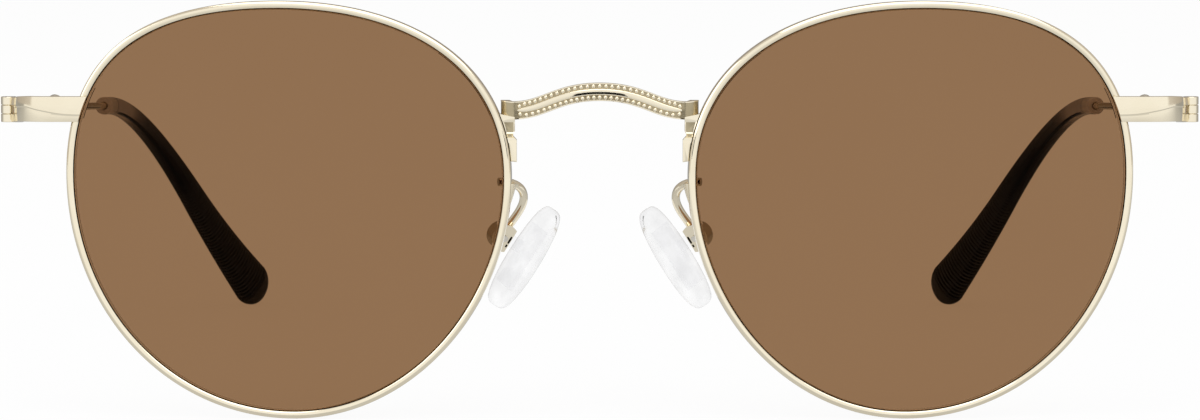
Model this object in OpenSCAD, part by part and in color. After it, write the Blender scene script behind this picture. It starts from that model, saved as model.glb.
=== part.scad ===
// Round metal eyeglasses, standing open on the rims and the temple tips.
// Millimetres, +Z up, +Y towards the temple tips, +X towards the wearer's left.
// Every left piece is drawn once and mirrored for the right side.

/* [Lenses] */
// Boxed width of a lens at its bevel
lens_w = 49.6; // [46:0.1:53]
// Boxed height of a lens at its bevel
lens_h = 46.3; // [43:0.1:50]
// Distance between the two lens centres
lens_spacing = 70.7; // [70:0.1:74]
// Thickness of a lens
lens_t = 1.8; // [1.5:0.1:2.1]
// Radius of a lens's front face
lens_curve = 126; // [90:1:200]
// Height of the bevel that stands in the rim's groove
bevel_h = 0.34; // [0.26:0.02:0.38]
// Thickness of that bevel
bevel_t = 0.26; // [0.2:0.02:0.34]
// Clearance between a lens and its rim
lens_gap = 0.06; // [0.03:0.01:0.1]
// Turn of each lens towards its temple, in degrees
face_form = 4; // [1:0.5:6]

/* [Lens shape] */
// Height of the widest point above the lens centre on the temple side
temple_side_up = 4.2; // [0:0.1:8]
// Height of the widest point above the lens centre on the nose side
nose_side_up = 3.85; // [0:0.05:8]
// Distance of the highest point from the lens centre, outwards
top_out = 1; // [-3:0.1:4]
// Distance of the lowest point from the lens centre, inwards
bottom_in = 0.5; // [-3:0.1:4]
// Fullness of the upper outer corner
upper_outer = 0.673; // [0.5:0.001:0.75]
// Fullness of the upper inner corner
upper_inner = 0.612; // [0.5:0.001:0.75]
// Fullness of the lower inner corner
lower_inner = 0.543; // [0.45:0.001:0.7]
// Fullness of the lower outer corner
lower_outer = 0.56; // [0.45:0.001:0.7]

/* [Rims] */
// Width of the rim wire seen from the front
rim_w = 0.95; // [0.8:0.05:1.2]
// Depth of the rim wire, front to back
rim_d = 1.8; // [1.6:0.1:2.4]
// Drop from the crest of the rim's front to its edges
rim_crown = 0.26; // [0.1:0.02:0.4]
// Width of the bright bevel along the rim's inner edge
rim_bevel = 0.22; // [0.15:0.01:0.3]
// Depth of the lens groove
groove_d = 0.42; // [0.4:0.02:0.5]
// Width of the groove's mouth
groove_mouth = 0.8; // [0.7:0.05:1]
// Width of the groove's floor
groove_floor = 0.34; // [0.3:0.02:0.5]
// Gap between the two ends of a rim
rim_split = 0.3; // [0.2:0.05:0.5]

/* [Closing block] */
// Length of the block outwards from the rim
lock_l = 3.6; // [3.2:0.1:4]
// Depth of the block, front to back
lock_d = 2.2; // [1.8:0.1:2.6]
// Height of each half
lock_h = 1.1; // [1:0.05:1.2]
// Diameter of the lock screw
lock_screw_d = 0.9; // [0.7:0.05:1.1]
// Diameter of the lock screw's domed head
lock_head_d = 1.35; // [1.2:0.05:1.6]
// Height of that dome
lock_head_h = 0.32; // [0.2:0.02:0.5]
// Play round each screw
screw_gap = 0.04; // [0.02:0.01:0.08]

/* [End pieces] */
// Height of the end piece and of the hinge
strap_h = 2.9; // [2.6:0.05:3.1]
// Thickness of the end piece
strap_t = 0.85; // [0.7:0.05:1]
// Height of the end pieces' middle above the lens centres
end_up = 11.43; // [10.8:0.01:12]
// Distance from the rim's inner edge to the end piece
rim_lip = 0.22; // [0.1:0.02:0.4]
// Distance between the two hinge axes
hinge_spacing = 135.8; // [135:0.1:138]
// Distance of the hinge axes behind the rims' middle
hinge_back = 7; // [6.4:0.1:8]
// Drop of the hinge's middle below the end piece's front
hinge_drop = 0.35; // [0:0.05:0.5]
// Radius of the end piece's turn to the hinge
wrap_r = 3.4; // [2.8:0.1:3.8]

/* [Hinges] */
// Diameter of the knuckles
knuckle_d = 1.8; // [1.7:0.05:2]
// Height of the temple's middle knuckle
knuckle_h = 0.95; // [0.85:0.05:1.05]
// Play above and below the middle knuckle
knuckle_gap = 0.06; // [0.04:0.01:0.1]
// Diameter of the hinge screw
hinge_screw_d = 0.85; // [0.7:0.05:0.95]
// Diameter of the hinge screw's sunk head
hinge_head_d = 1.25; // [1.15:0.05:1.35]
// Height of that head
hinge_head_h = 0.35; // [0.25:0.05:0.45]

/* [Temples] */
// Thickness of the temple next to the hinge
temple_t = 1.1; // [0.9:0.05:1.3]
// Length over which the temple thins to a round wire
taper_l = 46; // [36:1:60]
// Diameter of the wire
wire_d = 0.9; // [0.8:0.05:1.1]
// Straight length from the hinge to the ear bend
shaft_l = 87.8; // [84:0.1:94]
// Downward slope of the temple, in degrees
shaft_slope = 2.8; // [2:0.1:3.6]
// Inward slope of the temple, in degrees
shaft_toe_in = 1.15; // [0:0.05:2]
// Radius of the ear bend
ear_r = 45; // [36:1:50]
// Slope of the temple behind the ear, in degrees
ear_slope = 48; // [42:0.5:52]
// Distance from the hinge at which the temple starts to curve inwards
inward_start = 70; // [62:1:80]
// Radius of that inward curve
inward_r = 158; // [130:2:220]

/* [Temple tips] */
// Distance from the hinge to the tip's open end
tip_start = 84.6; // [80:0.2:87]
// Diameter of the tip at its open end
tip_d = 2.3; // [2.1:0.05:2.6]
// Thickness of the paddle end
paddle_t = 3.8; // [3.2:0.1:4.4]
// Width of the paddle end
paddle_w = 6.2; // [5.4:0.1:7]
// Length of the paddle's round end
paddle_end = 3; // [2.4:0.1:3.6]
// Length of solid tip beyond the end of the wire
tip_solid = 6; // [4.5:0.5:10]
// Clearance between the wire and the tip
wire_gap = 0.03; // [0.02:0.01:0.06]

/* [Bridge] */
// Height of the arch's middle line above the lens centres
arch_up = 13.54; // [12.6:0.02:14.4]
// Drop of the bridge's ends below the arch
arch_drop = 2.15; // [1.6:0.05:2.6]
// Height of the bridge's strip
bridge_h = 2.05; // [1.8:0.05:2.3]
// Thickness of the strip
bridge_t = 1; // [0.8:0.05:1.2]
// How far the arch's middle stands in front of its ends
bridge_bow = 0.7; // [0:0.1:1.2]
// Height that the beads and the middle band stand out
relief = 0.2; // [0.1:0.02:0.3]
// Number of beads in each row
beads = 36; // [24:2:48]
// Radius of the turn at each end
turn_r = 0.85; // [0.7:0.05:1]
// Length of the foot that runs down each rim
foot_l = 4.8; // [4:0.1:6]
// Width of each foot at its lower end
foot_w = 0.57; // [0.4:0.01:0.9]
// Depth of the feet, front to back
foot_d = 1.3; // [1:0.05:1.6]
// Gap left by solder between two joined pieces
solder_gap = 0.03; // [0.02:0.01:0.05]

/* [Pad arms] */
// Diameter of the pad arm wire
arm_d = 0.95; // [0.8:0.05:1.1]
// Height above the lens centre at which the arm is soldered to the rim
arm_up = 3.2; // [2.4:0.1:4]
// Reach of the arm's bend from its root towards the nose
arm_reach = 2.85; // [2.2:0.05:3.1]
// Drop of the bend below the root
arm_fall = 1.9; // [1.5:0.1:2.3]

/* [Nose pads] */
// Length of a nose pad
pad_l = 13; // [11:0.5:15]
// Width of a nose pad
pad_w = 6.8; // [6:0.1:7.5]
// Thickness of a nose pad
pad_t = 3; // [2.6:0.1:3.2]
// Distance from the object's middle to the middle of a pad
pad_out = 8.8; // [8.6:0.05:9.4]
// Distance of the pads' middle behind the rims' middle
pad_back = 7; // [6.4:0.1:8]
// Height of the pads' middle below the lens centres
pad_down = 5.95; // [5.5:0.05:6.5]
// Tilt of a pad from upright, in degrees
pad_tilt = 32; // [28:0.5:38]
// Splay of a pad from the side view, in degrees
pad_splay = 22; // [16:1:28]
// Distance from the pad's middle to its swivel screw, across the pad
pad_stem = 3.6; // [3.5:0.1:4.2]
// Distance from the pad's middle up to its swivel screw, along the pad
stem_up = 0.85; // [0:0.05:1.5]
// Diameter of the pad box's round ears
ear_d = 3.2; // [3:0.1:3.6]
// Distance from the swivel screw to the straight side of each ear, next to the pad
ear_cut = 0.8; // [0.7:0.05:1.1]
// Thickness of each ear
ear_t = 0.4; // [0.3:0.05:0.5]
// Thickness of the pad's lug between the ears
lug_t = 1.1; // [0.9:0.05:1.3]
// Play between the lug and each ear
lug_gap = 0.08; // [0.05:0.01:0.12]
// Diameter of the pad screw
pad_screw_d = 0.7; // [0.6:0.05:0.8]
// Diameter of the pad screw's head
pad_head_d = 1.3; // [1.1:0.05:1.5]
// Thickness of the hard core inside the pad
core_t = 0.7; // [0.6:0.05:0.9]

/* [Hidden] */

fine = 96;
sphere_fine = 200;
outline_steps = 72;
gold = "#cfc39a";
pale_gold = "#ddd3ad";
steel = "#b9b4a4";
lens_brown = [0.5, 0.36, 0.24, 0.75];
clear_white = [0.93, 0.94, 0.95, 0.6];
tip_black = "#1d1512";

// Vectors and curves
function unit(v) = v / norm(v);
function bezier(c, t) = (1 - t)^3 * c[0] + 3 * (1 - t)^2 * t * c[1] + 3 * (1 - t) * t^2 * c[2] + t^3 * c[3];
function bezier_way(c, t) = (1 - t)^2 * (c[1] - c[0]) + 2 * (1 - t) * t * (c[2] - c[1]) + t^2 * (c[3] - c[2]);
function blend(a, b, t) = a + (b - a) * t;
function ease(t) = let (k = min(1, max(0, t))) k * k * (3 - 2 * k);
function ring(at, ex, ey, profile) = [for (p = profile) at + p.x * ex + p.y * ey];

// A closed skin over rings of equal length. Each ring runs anticlockwise as seen from the
// last ring, and all of it can be seen from its first point.
module skin(rings) {
    n = len(rings);
    m = len(rings[0]);
    sides = [
        for (i = [0 : n - 2], j = [0 : m - 1])
            let (a = i * m + j, b = i * m + (j + 1) % m)
            each [[a, b + m, b], [a, a + m, b + m]]
    ];
    first_end = [for (j = [0 : m - 1]) j];
    last_end = [for (j = [0 : m - 1]) (n - 1) * m + (m - j) % m];
    polyhedron(points = [for (r = rings) each r], faces = concat(sides, [first_end, last_end]));
}

// Outline of the rim's opening in the lens plane: x outwards to the temple, y up.
// The way round is 4 long: temple side, top, nose side, bottom.
half_w = lens_w / 2 - bevel_h;
half_h = lens_h / 2 - bevel_h;
extremes = [[half_w, temple_side_up], [top_out, half_h], [-half_w, nose_side_up], [-bottom_in, -half_h]];
fullness = [upper_outer, upper_inner, lower_inner, lower_outer];
function corner(i) =
    let (p = extremes[i], q = extremes[(i + 1) % 4], d = (q - p) * fullness[i])
    i % 2 == 0 ? [p, p + [0, d.y], q - [d.x, 0], q] : [p, p + [d.x, 0], q - [0, d.y], q];
function edge_at(w) = bezier(corner(floor(w) % 4), w - floor(w));
function edge_way(w) = unit(bezier_way(corner(floor(w) % 4), w - floor(w)));
function edge_out(w, out) = let (t = edge_way(w)) edge_at(w) + out * [t.y, -t.x];
function edge_outline(out) = [for (k = [0 : outline_steps - 1]) edge_out(4 * k / outline_steps, out)];

// Where the way round reaches a height on the temple side or on the nose side
function temple_way(y, lo = 0, hi = 1, n = 24) =
    let (mid = (lo + hi) / 2) n == 0 ? mid : edge_at(mid).y < y ? temple_way(y, mid, hi, n - 1) : temple_way(y, lo, mid, n - 1);
function nose_way(y, lo = 1, hi = 3, n = 24) =
    let (mid = (lo + hi) / 2) n == 0 ? mid : edge_at(mid).y > y ? nose_way(y, mid, hi, n - 1) : nose_way(y, lo, mid, n - 1);

// The lens plane in space. The lens's middle face is a sphere that meets the widest part at depth 0.
lens_x = lens_spacing / 2;
lens_z = half_h + rim_w;
middle_r = lens_curve - lens_t / 2;
sphere_back = sqrt(middle_r^2 - half_w^2);
function depth_at(p) = sphere_back - sqrt(middle_r^2 - p.x^2 - p.y^2);
function in_space(p, depth) = [
    lens_x + p.x * cos(face_form) - depth * sin(face_form),
    p.x * sin(face_form) + depth * cos(face_form),
    lens_z + p.y
];
module in_lens_plane() {
    translate([lens_x, 0, lens_z]) rotate([0, 0, face_form]) rotate([90, 0, 0]) children();
}

// Upright prism of the outline, and a spherical wall concentric with the lens
prism_front = lens_curve - sphere_back + 1;
prism_back = 3;
module outline_prism(out) {
    translate([0, 0, -prism_back]) linear_extrude(prism_front + prism_back) polygon(edge_outline(out));
}
module sphere_wall(outer, inner) {
    translate([0, 0, -sphere_back]) difference() {
        sphere(outer, $fn = sphere_fine);
        sphere(inner, $fn = sphere_fine);
    }
}

module lens() {
    color(lens_brown) in_lens_plane() union() {
        intersection() {
            outline_prism(-lens_gap);
            sphere_wall(lens_curve, lens_curve - lens_t);
        }
        intersection() {
            outline_prism(bevel_h - lens_gap);
            sphere_wall(middle_r + bevel_t / 2, middle_r - bevel_t / 2);
        }
    }
}

// Rim: a grooved wire swept round the outline from one side of the split to the other.
// The profile is outwards by depth, the front being negative.
rim_half = rim_d / 2;
rim_soft = 0.12;
rim_crest = 0.08;
rim_profile = [
    [rim_w, 0],
    [rim_w, rim_half - rim_soft],
    [rim_w - rim_soft, rim_half],
    [rim_soft, rim_half],
    [0, rim_half - rim_soft],
    [0, groove_mouth / 2],
    [groove_d, groove_floor / 2],
    [groove_d, -groove_floor / 2],
    [0, -groove_mouth / 2],
    [0, rim_crown - rim_half],
    [rim_bevel, rim_crest - rim_half],
    [(rim_bevel + rim_w) / 2, -rim_half],
    [rim_w, rim_crown - rim_half]
];
split_way = temple_way(end_up);
split_step = rim_split / 2 / norm(3 * bezier_way(corner(0), split_way));
function rim_ring(w) =
    let (at = edge_at(w), t = edge_way(w), depth = depth_at(at))
    [for (p = rim_profile) in_space(at + p.x * [t.y, -t.x], depth + p.y)];
module rim() {
    way = 4 - 2 * split_step;
    color(gold)
        skin([for (k = [0 : outline_steps]) rim_ring((split_way + split_step + way * k / outline_steps) % 4)]);
}

// What is soldered beside a rim stops at this prism round it
module rim_space() {
    in_lens_plane() translate([0, 0, -5]) linear_extrude(10) polygon(edge_outline(rim_w + solder_gap));
}

// Place and depth of the split, on which the closing block and the end piece are built.
// The block's outer end is round, about the lock screw.
split_at = in_space(edge_at(split_way), depth_at(edge_at(split_way)));
rim_front = split_at.y - rim_half;
block_inset = 0.25;
block_front = rim_front + block_inset;
block_x = split_at.x + rim_w + lock_l - lock_d / 2;
block_y = block_front + lock_d / 2;
module lock_half(side) {
    base = split_at.z + (side > 0 ? rim_split / 2 : -rim_split / 2 - lock_h);
    difference() {
        union() {
            translate([split_at.x, block_front, base]) cube([block_x - split_at.x, lock_d, lock_h]);
            translate([block_x, block_y, base]) cylinder(d = lock_d, h = lock_h, $fn = fine);
        }
        rim_space();
        translate([block_x, block_y, base - 1])
            cylinder(d = lock_screw_d + 2 * screw_gap, h = lock_h + 2, $fn = fine);
    }
}
module lock_upper() {
    color(pale_gold) lock_half(1);
}
module lock_lower() {
    color(pale_gold) lock_half(-1);
}

// Lock screw: shank through both halves, domed head on the upper one, slot across the dome
block_top = split_at.z + rim_split / 2 + lock_h;
block_bottom = split_at.z - rim_split / 2 - lock_h;
slot_w = 0.18;
dome_r = (lock_head_d^2 / 4 + lock_head_h^2) / (2 * lock_head_h);
module lock_screw() {
    color(steel) translate([block_x, block_y, 0]) difference() {
        union() {
            translate([0, 0, block_bottom]) cylinder(d = lock_screw_d, h = block_top - block_bottom + 0.1, $fn = fine);
            translate([0, 0, block_top + solder_gap]) intersection() {
                translate([0, 0, lock_head_h - dome_r]) sphere(dome_r, $fn = fine);
                cylinder(d = lock_head_d, h = lock_head_h, $fn = fine);
            }
        }
        translate([-1, -slot_w / 2, block_top + lock_head_h / 2]) cube([2, slot_w, 1]);
    }
}

// End piece: a strap from the rim's front, turned back to the hinge. Two facets meet at a
// ridge that sinks from the hinge end to the rim end.
hinge_x = hinge_spacing / 2;
hinge_z = split_at.z - hinge_drop;
strap_y = rim_front - solder_gap - strap_t / 2;
wrap_x = hinge_x - wrap_r;
wrap_end = hinge_back - knuckle_d / 4;
ridge_stand = 0.2;
strap_soft = 0.14;
slot_depth = 0.35;
strap_inside = 1.6;
ridge_inner = -0.55;
ridge_outer = 0.35;
function strap_profile(ridge, thick) = [
    [0, -thick / 2],
    [strap_h / 2, -thick / 2],
    [strap_h / 2, thick / 2 - ridge_stand],
    [strap_h / 2 - strap_soft, thick / 2 - ridge_stand / 2],
    [ridge, thick / 2],
    [-strap_h / 2 + strap_soft, thick / 2 - ridge_stand / 2],
    [-strap_h / 2, thick / 2 - ridge_stand],
    [-strap_h / 2, -thick / 2]
];
wrap_steps = 10;
strap_path = concat(
    [for (k = [0 : 4]) [blend(split_at.x - strap_inside, wrap_x, k / 4), strap_y, 0]],
    [for (k = [1 : wrap_steps]) [wrap_x + wrap_r * sin(90 * k / wrap_steps), strap_y + wrap_r * (1 - cos(90 * k / wrap_steps)), 90 * k / wrap_steps]],
    [[wrap_x + wrap_r, wrap_end, 90]]
);
module endpiece() {
    n = len(strap_path) - 1;
    color(pale_gold) difference() {
        union() {
            difference() {
                skin([
                    for (k = [0 : n])
                        let (
                            p = strap_path[k],
                            part = (p.x - strap_path[0].x) / (hinge_x - strap_path[0].x),
                            drop = hinge_drop * ease((p.y - strap_y) / (wrap_end - strap_y)),
                            face = [sin(p.z), -cos(p.z), 0]
                        )
                        ring(
                            [p.x, p.y, split_at.z - drop], [0, 0, 1], face,
                            strap_profile(blend(ridge_inner, ridge_outer, part), strap_t)
                        )
                ]);
                in_lens_plane() translate([0, 0, -5]) linear_extrude(10) polygon(edge_outline(rim_lip));
            }
            translate([hinge_x, hinge_back, hinge_z - strap_h / 2]) cylinder(d = knuckle_d, h = strap_h, $fn = fine);
        }
        translate([hinge_x, hinge_back, hinge_z - strap_h])
            cylinder(d = hinge_screw_d + 2 * screw_gap, h = 2 * strap_h, $fn = fine);
        translate([hinge_x, hinge_back, hinge_z + strap_h / 2 - hinge_head_h])
            cylinder(d = hinge_head_d + 2 * screw_gap, h = 1, $fn = fine);
        translate([hinge_x - knuckle_d, hinge_back - knuckle_d / 2 - slot_depth, hinge_z - knuckle_h / 2 - knuckle_gap])
            cube([2 * knuckle_d, 2 * knuckle_d, knuckle_h + 2 * knuckle_gap]);
    }
}

module hinge_screw() {
    color(steel) translate([hinge_x, hinge_back, 0]) difference() {
        union() {
            translate([0, 0, hinge_z - strap_h / 2]) cylinder(d = hinge_screw_d, h = strap_h - 0.1, $fn = fine);
            translate([0, 0, hinge_z + strap_h / 2 - hinge_head_h + solder_gap])
                cylinder(d = hinge_head_d, h = hinge_head_h - solder_gap, $fn = fine);
        }
        translate([-1, -slot_w / 2, hinge_z + strap_h / 2 - slot_w]) cube([2, slot_w, 1]);
    }
}

// Temple: a path by distance from the hinge. It runs straight, bends down over the ear,
// runs straight to the end and curves inwards all the while.
bend_l = ear_r * (ear_slope - shaft_slope) * PI / 180;
bend_end = shaft_l + bend_l;
function slope_at(s) = s < shaft_l ? shaft_slope : min(ear_slope, shaft_slope + (s - shaft_l) / ear_r * 180 / PI);
function toe_at(s) = s * tan(shaft_toe_in) + max(0, s - inward_start)^2 / (2 * inward_r);
function toe_way(s) = tan(shaft_toe_in) + max(0, s - inward_start) / inward_r;
function drop_at(s) =
    let (
        straight = min(s, shaft_l) * sin(shaft_slope),
        bent = ear_r * (cos(shaft_slope) - cos(slope_at(s))),
        rest = max(0, s - bend_end) * sin(ear_slope)
    )
    straight + (s > shaft_l ? bent : 0) + rest;
function run_at(s) =
    let (
        straight = min(s, shaft_l) * cos(shaft_slope),
        bent = ear_r * (sin(slope_at(s)) - sin(shaft_slope)),
        rest = max(0, s - bend_end) * cos(ear_slope)
    )
    straight + (s > shaft_l ? bent : 0) + rest;
function temple_at(s) = [hinge_x - toe_at(s), hinge_back + run_at(s), hinge_z - drop_at(s)];
function temple_way_at(s) = unit([-toe_way(s), cos(slope_at(s)), -sin(slope_at(s))]);
function temple_side(s) = unit(cross(temple_way_at(s), [0, 0, 1]));
function temple_up(s) = cross(temple_side(s), temple_way_at(s));

// The end of the temple lies where the tip's round end touches the table
end_guess = bend_end + 20;
end_reach = norm([paddle_end * sin(ear_slope), paddle_w / 2 * temple_up(end_guess).z]);
cap_start = bend_end + (hinge_z - drop_at(bend_end) - end_reach) / sin(ear_slope);

// Round-cornered section between a square and an ellipse: power 1 is an ellipse
function soft_section(up, side, power, count, turn = 0) = [
    for (k = [0 : count - 1])
        let (a = turn + 360 * k / count, c = cos(a), s = sin(a))
        [up / 2 * sign(c) * abs(c)^power, side / 2 * sign(s) * abs(s)^power]
];
temple_start = 1.6;
wire_end = cap_start - tip_solid;
bend_from = min(shaft_l, tip_start) - 1;
bend_stations = [for (k = [0 : 9]) blend(bend_from, bend_end, k / 9)];
end_stations = [for (k = [1 : 2]) blend(bend_end, wire_end, k / 2)];
temple_stations = concat(
    [for (k = [0 : 8]) blend(temple_start, taper_l, k / 8)],
    [for (k = [1 : 3]) blend(taper_l, bend_from, k / 4)],
    bend_stations,
    end_stations
);
function temple_section(s) =
    let (t = ease(s / taper_l))
    soft_section(blend(strap_h, wire_d, t), blend(temple_t, wire_d, t), blend(0.45, 1, t), 12, 15);
module temple() {
    neck = temple_start + 0.5;
    color(gold) difference() {
        union() {
            skin([for (s = temple_stations) ring(temple_at(s), temple_up(s), temple_side(s), temple_section(s))]);
            translate([hinge_x, hinge_back, hinge_z - knuckle_h / 2]) cylinder(d = knuckle_d, h = knuckle_h, $fn = fine);
            translate([hinge_x - temple_t / 2, hinge_back, hinge_z - knuckle_h / 2])
                cube([temple_t, neck, knuckle_h]);
        }
        translate([hinge_x, hinge_back, hinge_z - strap_h])
            cylinder(d = hinge_screw_d + 2 * screw_gap, h = 2 * strap_h, $fn = fine);
    }
}

// Tip: a sleeve over the wire that widens to a flat paddle with a round end
cap_steps = 4;
bore_spare = 0.2;
tip_stations = concat(
    [for (k = [0 : 11]) blend(tip_start, bend_end, k / 11)],
    [for (k = [1 : 4]) blend(bend_end, cap_start, k / 4)]
);
function tip_section(s, scale) =
    let (t = ((s - tip_start) / (cap_start - tip_start))^2.5)
    soft_section(blend(tip_d, paddle_w, t) * scale, blend(tip_d, paddle_t, t) * scale, 0.9, 16);
function tip_ring(s, scale = 1) = ring(temple_at(s), temple_up(s), temple_side(s), tip_section(min(s, cap_start), scale));
tip_rings = concat(
    [tip_ring(tip_start, 0.88)],
    [tip_ring(tip_start + 0.25)],
    [for (k = [1 : len(tip_stations) - 1]) tip_ring(tip_stations[k])],
    [for (k = [1 : cap_steps]) tip_ring(cap_start + paddle_end * sin(84 * k / cap_steps), cos(84 * k / cap_steps))]
);
bore_stations = concat(bend_stations, end_stations, [wire_end + bore_spare]);
module temple_tip() {
    bore = soft_section(wire_d + 2 * wire_gap, wire_d + 2 * wire_gap, 1, 12, 15);
    color(tip_black) difference() {
        skin(tip_rings);
        skin([for (s = bore_stations) ring(temple_at(s), temple_up(s), temple_side(s), bore)]);
    }
}

// Bridge: a strip that rises over the nose, with a smooth band between two rows of beads,
// turned back at both ends. Way -1 to 1 runs along the arch.
turn_inside = 1;
bridge_end = nose_outer(arch_up - arch_drop).x - turn_inside - turn_r;
function nose_outer(y) = let (w = nose_way(y), p = edge_out(w, rim_w)) in_space(p, depth_at(edge_at(w)));
foot_top = arch_up - arch_drop - bridge_h / 2;
foot_y = nose_outer(foot_top).y;
bridge_y = foot_y;
arch = [
    [0, -bridge_bow, arch_up],
    [bridge_end * 0.5, -bridge_bow, arch_up],
    [bridge_end * 0.64, 0, arch_up - arch_drop],
    [bridge_end, 0, arch_up - arch_drop]
];
function arch_at(w) = let (p = bezier(arch, abs(w))) [sign(w) * p.x, bridge_y + p.y, lens_z + p.z];
function arch_way(w) = let (t = unit(bezier_way(arch, abs(w)))) w < 0 ? [t.x, -t.y, -t.z] : t;
function strip_profile(raise, bead, swell) =
    let (h = bridge_h / 2 * swell, f = bridge_t / 2, low = f - relief * raise)
    [
        [0, -f],
        [h, -f],
        [h, low - 0.1],
        [h * 0.96, low + 0.02],
        [h * 0.84, low + 0.03],
        [h * 0.66, low + relief * raise * bead],
        [h * 0.48, low],
        [h * 0.38, low + relief * raise * 0.7],
        [0, f + relief * raise * 0.4],
        [-h * 0.38, low + relief * raise * 0.7],
        [-h * 0.48, low],
        [-h * 0.66, low + relief * raise * bead],
        [-h * 0.84, low + 0.03],
        [-h * 0.96, low + 0.02],
        [-h, low - 0.1],
        [-h, -f]
    ];
function strip_ring(at, way, raise, bead, swell = 1) =
    let (up = unit([0, 0, 1] - way.z * way))
    ring(at, up, cross(way, up), strip_profile(raise, bead, swell));
turn_steps = 5;
turn_swell = 0.13;
function turned_end(side) = [
    for (k = [1 : turn_steps])
        let (a = 90 * k / turn_steps)
        strip_ring(
            arch_at(side) + turn_r * [side * sin(a), 1 - cos(a), 0],
            side > 0 ? [cos(a), sin(a), 0] : [cos(a), -sin(a), 0],
            0, 0, 1 + turn_swell * sin(a)
        )
];
module strip() {
    n = beads;
    arch_rings = [
        for (k = [-n : n])
            let (w = k / n)
            strip_ring(arch_at(w), arch_way(w), ease((1 - abs(w)) * 12), k % 2 == 0 ? 0 : 1)
    ];
    left_end = turned_end(-1);
    skin(concat([for (k = [turn_steps - 1 : -1 : 0]) left_end[k]], arch_rings, turned_end(1)));
}

// Foot: a plate beside the rim, its nose side upright with a shoulder and one notch
foot_lap = 0.3;
foot_blank = 2.6;
shoulder = 0.22;
notch = 0.45;
notch_h = 0.5;
notch_up = 3;
module foot() {
    base = lens_z + foot_top - foot_l;
    inner_x = nose_outer(foot_top - foot_l).x - foot_w;
    difference() {
        translate([0, foot_y + foot_d / 2, 0]) rotate([90, 0, 0]) linear_extrude(foot_d) polygon([
            [inner_x, base],
            [inner_x, base + notch_up - notch_h],
            [inner_x + notch, base + notch_up],
            [inner_x + shoulder, base + notch_up + notch_h],
            [inner_x + shoulder, base + foot_l + foot_lap],
            [inner_x + foot_blank, base + foot_l + foot_lap],
            [inner_x + foot_blank, base]
        ]);
        rim_space();
    }
}
module bridge() {
    color(pale_gold) union() {
        difference() {
            strip();
            for (side = [0, 1])
                mirror([side, 0, 0]) rim_space();
        }
        foot();
        mirror([1, 0, 0]) foot();
    }
}

// Nose pad frame: x to the back of the pad, y across its width, z along its length
pad_at = [pad_out, pad_back, lens_z - pad_down];
module in_pad_frame() {
    translate(pad_at) rotate([0, -pad_tilt, 0]) rotate([0, 0, -pad_splay]) children();
}
function pad_point(p) =
    let (
        x = p.x * cos(pad_splay) + p.y * sin(pad_splay),
        y = p.y * cos(pad_splay) - p.x * sin(pad_splay)
    )
    pad_at + [x * cos(pad_tilt) - p.z * sin(pad_tilt), y, x * sin(pad_tilt) + p.z * cos(pad_tilt)];

pad_rings = 12;
pad_round = 14;
pad_narrowing = 0.05;
pad_front = 0.85;
function pad_ring(k) =
    let (
        a = -84 + 168 * k / pad_rings,
        z = pad_l / 2 * sin(a),
        w = pad_w / 2 * cos(a)^0.62 * (1 - pad_narrowing * sin(a)),
        t = pad_t / 2 * cos(a)^0.45
    )
    [for (j = [0 : pad_round - 1]) let (b = 360 * j / pad_round, c = cos(b)) [t * c * (c > 0 ? pad_front : 2 - pad_front), w * sin(b), z]];
core_l = pad_l * 0.6;
core_w = pad_w * 0.5;
core_gap = 0.03;
stem_w = 1.4;
lug_d = 2.2;
module core_plate(grow) {
    translate([-core_t / 2 - grow, -core_w / 2 - grow, -core_l / 2 - grow])
        cube([core_t + 2 * grow, core_w + 2 * grow, core_l + 2 * grow]);
}
module core_stem(grow) {
    translate([0, -lug_t / 2 - grow, stem_up - stem_w / 2 - grow])
        cube([pad_stem, lug_t + 2 * grow, stem_w + 2 * grow]);
}
module nose_pad() {
    color(clear_white) in_pad_frame() difference() {
        skin([for (k = [0 : pad_rings]) pad_ring(k)]);
        core_plate(core_gap);
        core_stem(core_gap);
    }
}
module pad_core() {
    color(clear_white) in_pad_frame() difference() {
        union() {
            core_plate(0);
            core_stem(0);
            translate([pad_stem, lug_t / 2, stem_up]) rotate([90, 0, 0]) cylinder(d = lug_d, h = lug_t, $fn = fine);
        }
        translate([pad_stem, 2, stem_up]) rotate([90, 0, 0])
            cylinder(d = pad_screw_d + 2 * screw_gap, h = 4, $fn = fine);
    }
}

// Pad box: two round ears, straight on the side next to the pad, and the web that joins
// them on the side away from it
ear_in = lug_t / 2 + lug_gap;
ear_out = ear_in + ear_t;
web_t = 0.45;
web_reach = 0.5;
module pad_box() {
    color(pale_gold) in_pad_frame() translate([pad_stem, 0, stem_up]) difference() {
        union() {
            for (y = [-ear_out, ear_in])
                intersection() {
                    translate([0, y + ear_t, 0]) rotate([90, 0, 0]) cylinder(d = ear_d, h = ear_t, $fn = fine);
                    translate([-ear_cut, y, -ear_d]) cube([ear_d, ear_t, 2 * ear_d]);
                }
            translate([0, ear_out, 0]) rotate([90, 0, 0]) intersection() {
                difference() {
                    cylinder(d = ear_d, h = 2 * ear_out, $fn = fine);
                    translate([0, 0, -1]) cylinder(d = ear_d - 2 * web_t, h = 2 * ear_out + 2, $fn = fine);
                }
                translate([-web_reach, -ear_d, 0]) cube([ear_d, 2 * ear_d, 2 * ear_out]);
            }
        }
        translate([0, 3, 0]) rotate([90, 0, 0]) cylinder(d = pad_screw_d + 2 * screw_gap, h = 6, $fn = fine);
    }
}
pad_head_h = 0.35;
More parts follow.
